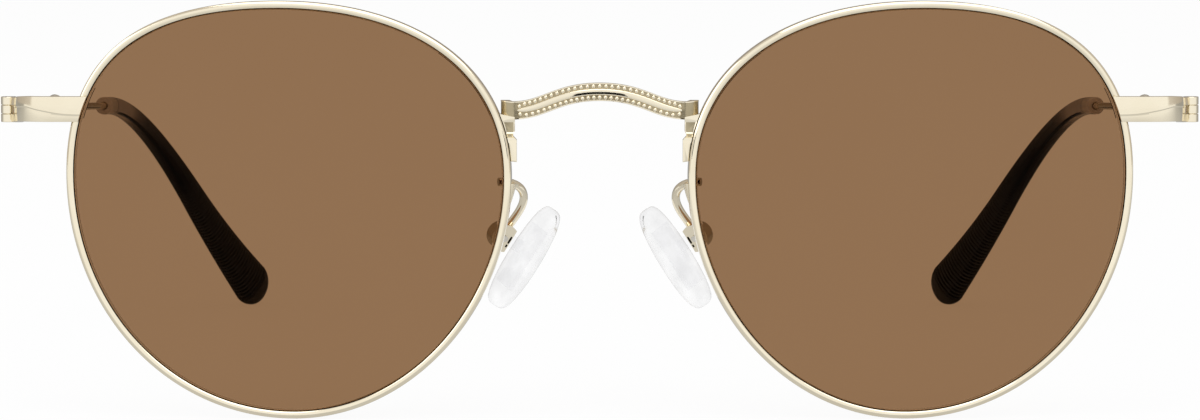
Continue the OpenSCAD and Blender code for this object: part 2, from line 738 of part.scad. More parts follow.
module pad_screw() {
    head_at = -ear_out - solder_gap;
    color(steel) in_pad_frame() translate([pad_stem, 0, stem_up]) rotate([90, 0, 0]) difference() {
        union() {
            translate([0, 0, head_at]) cylinder(d = pad_screw_d, h = 2 * ear_out + slot_w, $fn = fine);
            translate([0, 0, head_at - pad_head_h]) cylinder(d = pad_head_d, h = pad_head_h, $fn = fine);
        }
        translate([-1, -slot_w / 2, head_at - pad_head_h - 1 + slot_w]) cube([2, slot_w, 1]);
    }
}

// Pad arm: a wire from the rim's back, over towards the nose and down to the pad box
arm_r = arm_d / 2;
function rim_back(up) = let (at = edge_at(nose_way(up))) in_space(at, depth_at(at) + rim_half);
arm_inside = 0.65;
arm_sunk = 0.2;
arm_depth_share = 0.58;
root_pull = [-1.6, 0.5, 0.05];
bend_pull = [0.05, -1, 1.3];
end_pull = [-0.6, -0.4, 1];
arm_root = rim_back(arm_up) + [arm_inside, arm_r + solder_gap, 0];
arm_end = pad_point([pad_stem, 0, stem_up + ear_d / 2 - arm_sunk]);
arm_bend = arm_root + [-arm_reach, (arm_end.y - arm_root.y) * arm_depth_share, -arm_fall];
arm_over = [arm_root, arm_root + root_pull, arm_bend + bend_pull, arm_bend];
arm_down = [arm_bend, arm_bend - bend_pull, arm_end + end_pull, arm_end];
module pad_arm() {
    steps = 10;
    stations = concat([for (k = [0 : steps]) [arm_over, k / steps]], [for (k = [1 : steps]) [arm_down, k / steps]]);
    section = soft_section(arm_d, arm_d, 1, 10);
    color(gold) difference() {
        skin([
            for (q = stations)
                let (
                    way = unit(bezier_way(q[0], q[1])),
                    across = unit([0, 1, 0] - way.y * way)
                )
                ring(bezier(q[0], q[1]), across, cross(way, across), section)
        ]);
        in_pad_frame() translate([pad_stem, 3, stem_up]) rotate([90, 0, 0])
            cylinder(d = ear_d + 2 * solder_gap, h = 6, $fn = fine);
    }
}

// The model is shifted so that the origin lies under the middle of its box
front_y = sphere_back * cos(face_form) - lens_curve;
back_y = max([for (r = tip_rings, p = r) p.y]);
module placed() {
    translate([0, -(front_y + back_y) / 2, 0]) children();
}

placed() bridge();
placed() rim();  // left_rim
placed() mirror([1, 0, 0]) rim();  // right_rim
placed() lens();  // left_lens
placed() mirror([1, 0, 0]) lens();  // right_lens
placed() endpiece();  // left_endpiece
placed() mirror([1, 0, 0]) endpiece();  // right_endpiece
placed() lock_upper();  // left_lock_upper
placed() mirror([1, 0, 0]) lock_upper();  // right_lock_upper
placed() lock_lower();  // left_lock_lower
placed() mirror([1, 0, 0]) lock_lower();  // right_lock_lower
placed() lock_screw();  // left_lock_screw
placed() mirror([1, 0, 0]) lock_screw();  // right_lock_screw
placed() hinge_screw();  // left_hinge_screw
placed() mirror([1, 0, 0]) hinge_screw();  // right_hinge_screw
placed() pad_arm();  // left_pad_arm
placed() mirror([1, 0, 0]) pad_arm();  // right_pad_arm
placed() pad_box();  // left_pad_box
placed() mirror([1, 0, 0]) pad_box();  // right_pad_box
placed() pad_screw();  // left_pad_screw
placed() mirror([1, 0, 0]) pad_screw();  // right_pad_screw
placed() pad_core();  // left_pad_core
placed() mirror([1, 0, 0]) pad_core();  // right_pad_core
placed() nose_pad();  // left_nose_pad
placed() mirror([1, 0, 0]) nose_pad();  // right_nose_pad
placed() temple();  // left_temple
placed() mirror([1, 0, 0]) temple();  // right_temple
placed() temple_tip();  // left_temple_tip
placed() mirror([1, 0, 0]) temple_tip();  // right_temple_tip
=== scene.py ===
# %% [markdown]
# # Round metal eyeglasses
# The measured frame is loaded first and stays as it is. The steps below dress its pieces
# one kind after the other, then give them their finishes. Sizes are in millimetres, because
# that is how an optician measures a frame, and become metres in the scene.

# %% Load the measured frame
import math
import bmesh
import bpy
from mathutils import Matrix, Vector
from mathutils.bvhtree import BVHTree


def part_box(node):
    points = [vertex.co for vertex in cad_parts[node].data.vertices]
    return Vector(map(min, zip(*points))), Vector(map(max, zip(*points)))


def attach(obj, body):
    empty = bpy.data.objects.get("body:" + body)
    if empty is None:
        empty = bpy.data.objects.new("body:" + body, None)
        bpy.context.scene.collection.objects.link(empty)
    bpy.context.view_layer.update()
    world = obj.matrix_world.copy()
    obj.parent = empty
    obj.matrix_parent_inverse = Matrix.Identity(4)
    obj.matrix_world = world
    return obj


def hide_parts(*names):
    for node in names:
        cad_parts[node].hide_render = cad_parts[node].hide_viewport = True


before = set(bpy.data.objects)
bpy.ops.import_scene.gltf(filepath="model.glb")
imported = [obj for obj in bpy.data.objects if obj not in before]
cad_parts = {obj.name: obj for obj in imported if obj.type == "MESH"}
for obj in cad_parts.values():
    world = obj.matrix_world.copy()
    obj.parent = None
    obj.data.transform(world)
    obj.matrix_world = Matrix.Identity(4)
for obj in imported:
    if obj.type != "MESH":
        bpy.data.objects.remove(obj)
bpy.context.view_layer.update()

# %% [markdown]
# ## Sizes of the front
# A frame is measured by the boxed size of its lenses and the distance between them. The
# rest hangs on those: the rims go round the lenses, the bridge joins the rims, and the end
# pieces stand on their outer sides. Every size keeps the value of the measured frame.

# %% Sizes of the lenses and the rims
lens_w, lens_h, lens_spacing = 49.6, 46.3, 70.7
lens_t, lens_curve = 1.8, 126.0
bevel_h, bevel_t, lens_gap = 0.34, 0.26, 0.06
face_form = math.radians(4)
rim_w, rim_d, rim_crown, rim_bevel = 0.95, 1.8, 0.26, 0.22
groove_d, groove_mouth, groove_floor = 0.42, 0.8, 0.34
rim_split, solder_gap = 0.3, 0.03
half_w, half_h = lens_w / 2 - bevel_h, lens_h / 2 - bevel_h
lens_x, lens_z = lens_spacing / 2, half_h + rim_w
middle_r = lens_curve - lens_t / 2
sphere_back = math.sqrt(middle_r**2 - half_w**2)
shift = 1000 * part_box("left_lens")[0][1] - (sphere_back * math.cos(face_form) - lens_curve)
print("lens centre", lens_x, lens_z, "shift", round(shift, 3))

# %% [markdown]
# ## The outline of a lens
# A round lens is never quite a circle. Four curves join the outermost points on the temple
# side, at the top, on the nose side and at the bottom. A way from 0 to 4 goes once round,
# so that any piece on the rim can ask for the place it stands on.

# %% The lens outline and its place in space
extremes = [Vector((half_w, 4.2)), Vector((1, half_h)),
            Vector((-half_w, 3.85)), Vector((-0.5, -half_h))]
fullness = [0.673, 0.612, 0.543, 0.56]


def corner(i):
    p, q = extremes[i], extremes[(i + 1) % 4]
    d = (q - p) * fullness[i]
    if i % 2 == 0:
        return p, p + Vector((0, d.y)), q - Vector((d.x, 0)), q
    return p, p + Vector((d.x, 0)), q - Vector((0, d.y)), q


def on_curve(c, t):
    return (1 - t)**3 * c[0] + 3 * (1 - t)**2 * t * c[1] + 3 * (1 - t) * t**2 * c[2] + t**3 * c[3]


def along_curve(c, t):
    return (1 - t)**2 * (c[1] - c[0]) + 2 * (1 - t) * t * (c[2] - c[1]) + t**2 * (c[3] - c[2])


def edge_at(way, out=0.0):
    c = corner(int(way) % 4)
    t = along_curve(c, way % 1).normalized()
    return on_curve(c, way % 1) + out * Vector((t.y, -t.x))


def depth_at(p, radius=middle_r):
    return sphere_back - math.sqrt(radius**2 - p.x**2 - p.y**2)


def in_space(p, depth):
    turn_x, turn_y = math.cos(face_form), math.sin(face_form)
    return Vector((lens_x + p.x * turn_x - depth * turn_y, p.x * turn_y + depth * turn_x, lens_z + p.y))


def on_rim(way, out=0.0, behind=0.0):
    return in_space(edge_at(way, out), depth_at(edge_at(way)) + behind)


def find_way(height, low, high, rising):
    for step in range(30):
        middle = (low + high) / 2
        if (edge_at(middle).y < height) == rising:
            low = middle
        else:
            high = middle
    return low


def temple_way(height):
    return find_way(height, 0, 1, True)


def nose_way(height):
    return find_way(height, 1, 3, False)


print("outline from", tuple(edge_at(0)), "to", tuple(edge_at(2)))

# %% [markdown]
# ## A skin from ring to ring
# Wires, lenses, pads and temple tips are all one section carried along a path. The first
# ring is an edge loop. Its edges are extruded, and each new loop is laid on the next ring.
# That keeps clean quads along the wire, which bevel and shade well.

# %% A helper that lofts a skin over rings
def close_loop(bm, points):
    loop = [bm.verts.new(p) for p in points]
    return loop, [bm.edges.new((v, loop[(i + 1) % len(loop)])) for i, v in enumerate(loop)]


# Marked faces take the piece's second material, a darker gold that is painted shade.
def mark_shaded_faces(loop, points):
    for j in points:
        for face in loop[j].link_faces:
            if loop[j + 1] in face.verts:
                face.material_index = 1


def map_skin(bm, loops, lengths):
    layer = bm.verts.layers.float_vector["skin_map"]
    for loop, length in zip(loops, lengths):
        for j, v in enumerate(loop):
            turn = 2 * math.pi * j / len(loop)
            v[layer] = (math.cos(turn), math.sin(turn), length)


def loft(rings, shaded_faces=(), lengths=()):
    bm = bmesh.new()
    if lengths:
        bm.verts.layers.float_vector.new("skin_map")
    loop, edges = close_loop(bm, rings[0])
    bm.faces.new(loop)
    loops = [loop]
    for count, ring in enumerate(rings[1:]):
        made = bmesh.ops.extrude_edge_only(bm, edges=edges)["geom"]
        fresh = {g for g in made if isinstance(g, bmesh.types.BMVert)}
        loop = [next(e.other_vert(v) for e in v.link_edges if e.other_vert(v) in fresh) for v in loop]
        for v, p in zip(loop, ring):
            v.co = p
        loops.append(loop)
        new_edges = [g for g in made if isinstance(g, bmesh.types.BMEdge)]
        edges = [e for e in new_edges if e.verts[0] in fresh and e.verts[1] in fresh]
        for points, ring_numbers in shaded_faces:
            if count in ring_numbers:
                mark_shaded_faces(loop, points)
    bm.faces.new(loop)
    if lengths:
        map_skin(bm, loops, lengths)
    bmesh.ops.recalc_face_normals(bm, faces=bm.faces)
    return bm


def join(*parts):
    whole = bmesh.new()
    for part in parts:
        mesh = bpy.data.meshes.new("part")
        part.to_mesh(mesh)
        whole.from_mesh(mesh)
        part.free()
        bpy.data.meshes.remove(mesh)
    return whole


print("skins are lofted from ring to ring")

# %% [markdown]
# ## Putting a piece into the scene
# A piece is drawn in millimetres for the wearer's left side. Here it becomes metres, moves
# to its place, gets smooth shading with crisp edges and a small live bevel, and rides on
# its body. The right side is the same drawing mirrored, with its faces turned back outwards.

# %% A helper that places pieces
finishes = {}
to_metres, bevel_segments = 0.001, 2


def mirror(bm):
    bmesh.ops.scale(bm, vec=(-1, 1, 1), verts=bm.verts)
    bmesh.ops.reverse_faces(bm, faces=bm.faces)
    return bm


def to_object(name, bm):
    mesh = bpy.data.meshes.new(name)
    bm.to_mesh(mesh)
    bm.free()
    made = bpy.data.objects.new(name, mesh)
    bpy.context.scene.collection.objects.link(made)
    return made


def place(name, bm, node, body, slot, edge=0.0, crease=35, mirrored=False, metres=False):
    if not metres:
        bmesh.ops.translate(bm, vec=(0, shift, 0), verts=bm.verts)
        bmesh.ops.scale(bm, vec=(to_metres, to_metres, to_metres), verts=bm.verts)
    if mirrored:
        mirror(bm)
    piece = to_object(name, bm)
    piece.data.shade_smooth()
    piece.data.set_sharp_from_angle(angle=math.radians(crease))
    if edge:
        bevel = piece.modifiers.new("soft edges", "BEVEL")
        bevel.width = edge * to_metres
        bevel.segments = bevel_segments
        bevel.limit_method = "ANGLE"
        bevel.angle_limit = math.radians(crease)
        bevel.harden_normals = True
    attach(piece, body)
    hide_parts(node)
    finishes.setdefault(slot, []).append(piece)
    return piece


def place_pair(name, draw, slot, left_body="root", right_body="root", **looks):
    left = place("left_" + name + "_skin", draw(), "left_" + name, left_body, slot, **looks)
    place("right_" + name + "_skin", draw(), "right_" + name, right_body, slot, mirrored=True, **looks)
    print(name, len(left.data.vertices), "vertices a side")
    return left


# %% [markdown]
# ## Rims
# A rim is a thin grooved wire, rolled to the lens's outline and split behind the end piece
# so that the lens can go in. Its front is gently crowned, with a bright bevel next to the
# lens. The section is carried round the outline and stops at both sides of the split.

# %% Rims
end_up = 11.43
split_way = temple_way(end_up)
split_step = rim_split / 2 / (3 * along_curve(corner(0), split_way)).length
rim_half = rim_d / 2
crown_steps, lens_side_rise, outer_lip, lip_w, back_soft = 7, 0.08, 0.1, 0.03, 0.12


def rim_profile():
    crown = []
    for k in range(crown_steps):
        part = k / crown_steps
        rise = lens_side_rise if part < 0.5 else rim_crown
        crown.append((rim_bevel + (rim_w - rim_bevel) * part, rise * (2 * part - 1)**2 - rim_half))
    crown += [(rim_w - lip_w, rim_crown * 0.72 - rim_half), (rim_w, rim_crown + outer_lip - rim_half)]
    back = [(rim_w, 0.0), (rim_w, rim_half - back_soft), (rim_w - back_soft, rim_half),
            (back_soft, rim_half), (0.0, rim_half - back_soft)]
    groove = [(0, groove_mouth / 2), (groove_d, groove_floor / 2),
              (groove_d, -groove_floor / 2), (0, -groove_mouth / 2)]
    return back + groove + [(0, rim_crown - rim_half)] + crown


def rim_ring(way):
    at, ahead = edge_at(way), along_curve(corner(int(way) % 4), way % 1).normalized()
    out, depth = Vector((ahead.y, -ahead.x)), depth_at(edge_at(way))
    return [in_space(at + x * out, depth + y) for x, y in rim_profile()]


def draw_rim(stations=320):
    start, length = split_way + split_step, 4 - 2 * split_step
    return loft([rim_ring((start + length * k / stations) % 4) for k in range(stations + 1)])


place_pair("rim", draw_rim, "gold_plate", edge=0.05, crease=28)

# %% [markdown]
# ## Lenses
# Each lens is a shallow cap between two spheres, with a small bevel all round that stands
# in the rim's groove. Rings of the outline run from the middle of the front to its edge,
# over the bevel and back to the middle of the back, so both faces stay true spheres.

# %% Lenses
lens_points, edge_soft = 256, 0.08
lens_shares = [0.02, 0.06, 0.12, 0.2, 0.3, 0.4, 0.5, 0.6, 0.7, 0.8, 0.9, 0.97]


def lens_ring(share, out, radius, off=0.0):
    ring = []
    for k in range(lens_points):
        p = edge_at(4 * k / lens_points, out) * share
        ring.append(in_space(p, depth_at(p, radius) + off))
    return ring


def draw_lens():
    front, back = lens_curve, lens_curve - lens_t
    bevel_front, bevel_back = middle_r + bevel_t / 2, middle_r - bevel_t / 2
    wall, tip = -lens_gap, bevel_h - lens_gap
    edge = [(wall - edge_soft, front, 0), (wall, front, edge_soft), (wall, bevel_front, 0),
            (tip, bevel_front, 0), (tip, bevel_back, 0), (wall, bevel_back, 0),
            (wall, back, -edge_soft), (wall - edge_soft, back, 0)]
    rings = [lens_ring(share, wall, front) for share in lens_shares]
    rings += [lens_ring(1, out, radius, off) for out, radius, off in edge]
    rings += [lens_ring(share, wall, back) for share in reversed(lens_shares)]
    return loft(rings)


place_pair("lens", draw_lens, "lens_brown", crease=30)

# %% [markdown]
# ## Bridge
# The saddle bridge is stamped from one strip. A thin border runs along both edges, a smooth
# leaf-shaped band lies in the middle, and a row of small slanted beads follows each side of
# it. The strip is lofted along the arch. The beads are small copies of one low sphere.

# %% The arch
arch_up, arch_drop, bridge_h, bridge_t, bridge_bow = 13.54, 2.15, 2.05, 1.0, 0.7
turn_r, turn_inside = 0.85, 1.0


def nose_outer(y):
    return on_rim(nose_way(y), rim_w)


foot_top = arch_up - arch_drop - bridge_h / 2
foot_y = nose_outer(foot_top).y
bridge_end = nose_outer(arch_up - arch_drop).x - turn_inside - turn_r
arch = [Vector(p) for p in (
    (0, -bridge_bow, arch_up), (bridge_end * 0.5, -bridge_bow, arch_up),
    (bridge_end * 0.64, 0, arch_up - arch_drop), (bridge_end, 0, arch_up - arch_drop))]


def arch_at(w):
    p = on_curve(arch, abs(w))
    return Vector((math.copysign(p.x, w), foot_y + p.y, lens_z + p.z))


def arch_way(w):
    t = along_curve(arch, abs(w)).normalized()
    return Vector((t.x, -t.y, -t.z)) if w < 0 else t


def upright(ahead):
    up = (Vector((0, 0, 1)) - ahead.z * ahead).normalized()
    return up, ahead.cross(up)


print("arch from the middle to", round(bridge_end, 2), "mm, feet from", round(foot_top, 2), "mm up")

# %% The strip
relief, arch_steps, turn_steps, end_rings = 0.2, 90, 10, 8
end_swell, floor_ease = 0.13, 12
floor_shade_points, turned_shade_points = range(6, 12), range(5, 13)
strip_profile = [(1, -0.08, 0), (0.99, 0, 0), (0.965, 0.03, 0), (0.865, 0.03, 0),
                 (0.84, 0, -0.05), (0.5, 0, -0.06), (0.2, 0, -0.02)]


def strip_section(raised, swell=1.0):
    h, f = bridge_h / 2 * swell, bridge_t / 2
    flat = f - relief * raised
    upper = [(h, -f)] + [(h * share, flat + lift + dip * raised) for share, lift, dip in strip_profile]
    return [(0, -f)] + upper + [(0, flat)] + [(-y, z) for y, z in reversed(upper)]


def strip_ring(at, ahead, raised, swell=1.0):
    up, face = upright(ahead)
    return [at + y * up + z * face for y, z in strip_section(raised, swell)]


def eased(t):
    k = min(1, max(0, t))
    return k * k * (3 - 2 * k)


def turned_end(side):
    rings = []
    for k in range(1, turn_steps + 1):
        a = math.pi / 2 * k / turn_steps
        at = arch_at(side) + turn_r * Vector((side * math.sin(a), 1 - math.cos(a), 0))
        ahead = Vector((math.cos(a), side * math.sin(a), 0))
        rings.append(strip_ring(at, ahead, 0, 1 + end_swell * math.sin(a)))
    return rings


def draw_strip():
    middle = []
    for k in range(-arch_steps, arch_steps + 1):
        w = k / arch_steps
        middle.append(strip_ring(arch_at(w), arch_way(w), eased((1 - abs(w)) * floor_ease)))
    last = turn_steps + 2 * arch_steps
    # The floor beside the band and both turned ends are marked: their darker gold is painted shade.
    floor_shade_rings = range(turn_steps + end_rings, last - end_rings)
    turned_shade_rings = [*range(turn_steps), *range(last, last + turn_steps)]
    return loft(turned_end(-1)[::-1] + middle + turned_end(1),
                shaded_faces=[(floor_shade_points, floor_shade_rings), (turned_shade_points, turned_shade_rings)])


print("strip", bridge_h, "mm wide with a floor", relief, "mm deep")

# %% [markdown]
# ## Band and beads
# The band is pressed up out of the strip's floor. Its lower side is one flat facet, which
# gives the long dark streak in the photo. The beads are pressed in one stroke of a
# patterned punch, so they stand at an even pitch along the arch, lean outwards on both
# sides of its middle, and close in where the band ends.

# %% The middle band
band_reach, band_share, thin_end, full_half, band_low = 0.955, 0.36, 0.02, 0.37, 0.08
band_section = [(1, -0.8), (1, 0), (0.93, 0.36), (0.8, 0.67), (0.62, 0.88), (0.42, 0.97),
                (0.2, 1.0), (0.05, 0.99), (-0.2, 0.93), (-0.45, 0.849), (-0.7, 0.741),
                (-0.85, 0.57), (-0.96, 0.3), (-1, 0), (-1, -0.8)]


def band_half(w):
    return band_share * bridge_h / 2 * max(0.0, 1 - abs(w / band_reach)**7)**0.5


def draw_band():
    rings = []
    for k in range(-arch_steps, arch_steps + 1):
        w = band_reach * k / arch_steps
        up, face = upright(arch_way(w))
        half = max(thin_end, band_half(w))
        rise = (relief - band_low) * (half / full_half)**0.5
        rings.append([arch_at(w) + half * y * up + (bridge_t / 2 - relief + rise * z) * face
                      for y, z in band_section])
    return loft(rings)


print("band", round(2 * band_half(0), 2), "mm wide in the middle")

# %% The beads
bead_reach, beads_a_side, bead_half = 0.985, 15, (0.275, 0.25, 0.19)
bead_row, row_closes_at, row_close, lowest_row = 0.62, 0.86, 1.6, 0.12
bead_lean, lean_growth, bead_sunk = 0.62, 3.5, 0.03


def even_ways(count, samples=600):
    at = [arch_at(bead_reach * k / samples) for k in range(samples + 1)]
    run = [0.0]
    for p, q in zip(at, at[1:]):
        run.append(run[-1] + (q - p).length)
    half = []
    for n in range(count + 1):
        reached = next(k for k, r in enumerate(run) if r >= run[-1] * n / count)
        half.append(bead_reach * reached / samples)
    return [-w for w in half[:0:-1]] + half


def add_bead(whole, w, side, row):
    ahead = arch_way(w)
    up, face = upright(ahead)
    lean = bead_lean * max(-1.0, min(1.0, w * lean_growth)) * side
    long_way = (up * math.cos(lean) * side - ahead * math.sin(lean) * side).normalized()
    wide_way = face.cross(long_way)
    middle = arch_at(w) + side * row * up + (bridge_t / 2 - relief - bead_sunk) * face
    for v in bmesh.ops.create_icosphere(whole, subdivisions=2, radius=1)["verts"]:
        x, y, z = (half * value for half, value in zip(bead_half, v.co))
        v.co = middle + x * long_way + y * wide_way + z * face


def draw_beads():
    whole = bmesh.new()
    for side in (1, -1):
        for w in even_ways(beads_a_side):
            pull = max(0.0, (abs(w) - row_closes_at) / (bead_reach - row_closes_at))
            row = bridge_h / 2 * bead_row * (1 - pull**row_close)
            if side > 0 or row >= lowest_row:
                add_bead(whole, w, side, row)
    return whole


print("beads in the upper row", 2 * beads_a_side + 1)

# %% [markdown]
# ## Feet of the bridge
# Below each turned end a small plate runs down beside the rim and is soldered to it. Its
# inner side is upright, with a shoulder and one notch. The plate's outline is filled as one
# face, extruded to its depth, and its rim side follows the lens outline.

# %% Feet of the bridge
foot_l, foot_w, foot_d, foot_lap, foot_steps = 4.8, 0.68, 1.3, 0.3, 14
nose_side = [(0, 0), (0, 2.5), (0.45, 3), (0.22, 3.5), (0.22, foot_l + foot_lap)]
panel_cuts = [2.25, 2.75, 3.25, foot_l - 0.15]
panels, panel_border = [(0, 0.09), (2, -0.144), (3, -0.108)], 0.13


def draw_foot():
    base = foot_top - foot_l
    inner = nose_outer(base).x - foot_w
    outline = [Vector((inner + x, base + z)) for x, z in nose_side]
    for k in range(foot_steps + 1):
        p = nose_outer(foot_top + foot_lap - (foot_l + foot_lap) * k / foot_steps)
        outline.append(Vector((p.x - solder_gap, p.z - lens_z)))
    bm = bmesh.new()
    face = bm.faces.new([bm.verts.new((p.x, foot_y - foot_d / 2, lens_z + p.y)) for p in outline])
    made = bmesh.ops.extrude_face_region(bm, geom=[face])["geom"]
    back = [g for g in made if isinstance(g, bmesh.types.BMVert)]
    bmesh.ops.translate(bm, vec=(0, foot_d, 0), verts=back)
    bmesh.ops.recalc_face_normals(bm, faces=bm.faces)
    for height in panel_cuts:
        bmesh.ops.bisect_plane(bm, geom=bm.verts[:] + bm.edges[:] + bm.faces[:], dist=1e-5,
                               plane_co=(0, 0, lens_z + base + height), plane_no=(0, 0, 1))
    front = [f for f in bm.faces if f.normal.y < -0.9]
    front.sort(key=lambda f: f.calc_center_median().z)
    for number, depth in panels:
        bmesh.ops.inset_region(bm, faces=[front[number]], thickness=panel_border, depth=depth,
                               use_even_offset=True)
        # A pressed-in panel takes the darker gold, painted shade.
        front[number].material_index = 1 if depth < 0 else 0
    return bm


bridge_parts = join(draw_strip(), draw_band(), draw_beads(), draw_foot(), mirror(draw_foot()))
bridge_piece = place("bridge_skin", bridge_parts, "bridge", "root", "gold_plate", edge=0.02, crease=40)
print("bridge", len(bridge_piece.data.vertices), "vertices")

# %% [markdown]
# ## End pieces
# An end piece is a strap with two polished facets that meet at a low step. It lies on the
# front of the rim, turns back in a soft wrap and curls round the hinge's pin above and below
# the temple's knuckle. One section is lofted along that path, and the curls are spun.

# %% End pieces: the strap's section
strap_h, strap_t, wrap_r = 2.9, 0.85, 3.4
hinge_x, hinge_back, hinge_drop = 67.9, 7.0, 0.35
hinge_z = lens_z + end_up - hinge_drop
ridge_inner, ridge_outer, ridge_step = -0.62, 0.3, 0.1
facet_drop, corner_drop, step_top, step_foot, strap_in = 0.09, 0.09, 0.03, 0.12, 1.55
upper_insets, upper_shares = (0, 0.03, 0.1, 0.3), (0.65, 0.4, 0.175)
lower_insets, lower_shares = (0.2, 0.08, 0.03, 0), (0.25, 0.425, 0.65)
split_at = on_rim(split_way)
strap_y = split_at.y - rim_half - solder_gap - strap_t / 2
wrap_x = hinge_x - strap_in - wrap_r


def strap_section(ridge):
    top, half = strap_h / 2, strap_t / 2
    heights = [top - inset for inset in upper_insets]
    heights += [ridge + (top - ridge) * share for share in upper_shares]
    upper = [(h, half - facet_drop * ((h - ridge) / (top - ridge))**2) for h in heights]
    upper[0] = (top, upper[0][1] - corner_drop)
    heights = [ridge - (ridge + top) * share for share in lower_shares]
    heights += [inset - top for inset in lower_insets]
    lower = [(h, half - ridge_step - facet_drop * ((ridge - h) / (ridge + top))**2) for h in heights]
    lower[-1] = (-top, lower[-1][1] - corner_drop)
    step = [(ridge + step_top, half), (ridge - step_foot, half - ridge_step)]
    return [(top, -half)] + upper + step + lower + [(-top, -half)]


def ridge_at(x):
    part = min(1, max(0, (x - split_at.x) / (wrap_x + wrap_r * 0.6 - split_at.x)))
    return ridge_inner + (ridge_outer - ridge_inner) * part**2.2


print("split of the rim at", tuple(round(v, 3) for v in split_at))

# %% End pieces: the strap's path
wrap_steps, curl_steps, front_steps, strap_lap = 20, 16, 14, 0.22
wrap_turn, curl_straight, joint_in = math.radians(90), Vector((0, 1.3)), 0.42
joint_pull, drop_ends_before = Vector((0.55, 0.75)), 0.45


def strap_path():
    turn = [wrap_turn * k / wrap_steps for k in range(wrap_steps + 1)]
    path = [(Vector((wrap_x + wrap_r * math.sin(a), strap_y + wrap_r * (1 - math.cos(a)))), a)
            for a in turn]
    last = path[-1][0]
    joint = Vector((hinge_x - joint_in, hinge_back - joint_in))
    curl = [last, last + curl_straight, joint - joint_pull, joint]
    for k in range(1, curl_steps + 1):
        way = along_curve(curl, k / curl_steps)
        path.append((on_curve(curl, k / curl_steps), math.atan2(way.y, way.x)))
    return path


def strap_rings(path, low=-strap_h, high=strap_h):
    rings = []
    for at, angle in path:
        drop = hinge_drop * eased((at.y - strap_y) / (hinge_back - strap_y - drop_ends_before))
        z, face = lens_z + end_up - drop, Vector((math.sin(angle), -math.cos(angle), 0))
        rings.append([Vector((at.x, at.y, z + max(low, min(high, h)))) + v * face
                      for h, v in strap_section(ridge_at(at.x))])
    return rings


def front_rings():
    rings = []
    for k in range(front_steps):
        t = k / front_steps
        ring = []
        for h, v in strap_section(ridge_at(split_at.x + (wrap_x - split_at.x) * t)):
            start = on_rim(temple_way(end_up + h), strap_lap).x
            ring.append(Vector((start + (wrap_x - start) * t, strap_y - v, lens_z + end_up + h)))
        rings.append(ring)
    return rings


print("strap from", round(split_at.x, 2), "to", round(hinge_x - joint_in, 2), "mm")

# %% End pieces: curls round the hinge's pin
knuckle_d, knuckle_h, knuckle_gap, knuckle_soft = 1.8, 0.95, 0.06, 0.05
hinge_screw_d, hinge_head_d, hinge_head_h, screw_gap = 0.85, 1.25, 0.35, 0.04
pin_bore, knuckle_r, slot_half = hinge_screw_d / 2 + screw_gap, knuckle_d / 2, knuckle_h / 2 + knuckle_gap
slot_y = hinge_back - knuckle_r - 0.35
spin_steps = 64


def spin_tube(section):
    bm = bmesh.new()
    loop, edges = close_loop(bm, [(x, 0, z) for x, z in section])
    bmesh.ops.spin(bm, geom=loop + edges, axis=(0, 0, 1), cent=(0, 0, 0), angle=2 * math.pi,
                   steps=spin_steps, use_merge=True)
    bmesh.ops.remove_doubles(bm, verts=bm.verts, dist=1e-4)
    bmesh.ops.recalc_face_normals(bm, faces=bm.faces)
    bmesh.ops.translate(bm, vec=(hinge_x, hinge_back, hinge_z), verts=bm.verts)
    return bm


def tube_side(low, high):
    return [(pin_bore, low), (knuckle_r - knuckle_soft, low), (knuckle_r, low + knuckle_soft),
            (knuckle_r, high - knuckle_soft), (knuckle_r - knuckle_soft, high)]


def draw_upper_curl():
    high, head = strap_h / 2, hinge_head_d / 2 + screw_gap
    counterbore = [(head, high), (head, high - hinge_head_h), (pin_bore, high - hinge_head_h)]
    return spin_tube(tube_side(slot_half, high) + counterbore)


def draw_lower_curl():
    return spin_tube(tube_side(-strap_h / 2, -slot_half) + [(pin_bore, -slot_half)])


def draw_endpiece():
    path = strap_path()
    front = [q for q in path if q[0].y <= slot_y]
    tail = path[len(front) - 1:]
    upper, lower = loft(strap_rings(tail, low=slot_half)), loft(strap_rings(tail, high=-slot_half))
    return join(loft(front_rings() + strap_rings(front)), upper, lower,
                draw_upper_curl(), draw_lower_curl())


place_pair("endpiece", draw_endpiece, "gold_plate", edge=0.04, crease=32)

# %% [markdown]
# ## Closing blocks, screws and pad cores
# These are small milled and turned parts whose measured shape is right already. What they
# lack is the tiny round on every edge that catches the light. A merged copy of the measured
# mesh gets its flat faces joined, and a live bevel rounds what is left.

# %% Softened copies of the small metal parts
def merged_copy(node):
    bm = bmesh.new()
    bm.from_mesh(bpy.data.objects[node].data)
    bmesh.ops.remove_doubles(bm, verts=bm.verts, dist=1e-6)
    bmesh.ops.dissolve_limit(bm, angle_limit=math.radians(1), verts=bm.verts, edges=bm.edges)
    return bm


def soften(part, slot, edge, body="root"):
    for side in ("left", "right"):
        node = side + "_" + part
        place(node + "_skin", merged_copy(node), node, body.format(side), slot,
              edge=edge, crease=30, metres=True)
    print(part, "softened by", edge, "mm")


soften("lock_upper", "gold_plate", 0.05)
soften("lock_lower", "gold_plate", 0.05)
for part in ("lock_screw", "hinge_screw", "pad_screw"):
    soften(part, "screw_steel", 0.03)
soften("pad_core", "clear_core", 0.1, "{}_pad")

# %% [markdown]
# ## Temples
# A temple starts flat and tall at the hinge and is drawn down to a thin round wire. It runs
# straight, bends down behind the ear and curves inwards all the while. Its middle knuckle is
# a short tube, spun from one small section round the hinge's axis.

# %% The temple's path
temple_t, taper_l, wire_d, shaft_l = 1.1, 46.0, 0.9, 87.8
shaft_slope, ear_slope, toe_slope = math.radians(2.8), math.radians(48), math.tan(math.radians(1.15))
ear_r, inward_start, inward_r = 45.0, 70.0, 158.0
bend_end = shaft_l + ear_r * (ear_slope - shaft_slope)


def slope_at(s):
    return shaft_slope if s < shaft_l else min(ear_slope, shaft_slope + (s - shaft_l) / ear_r)


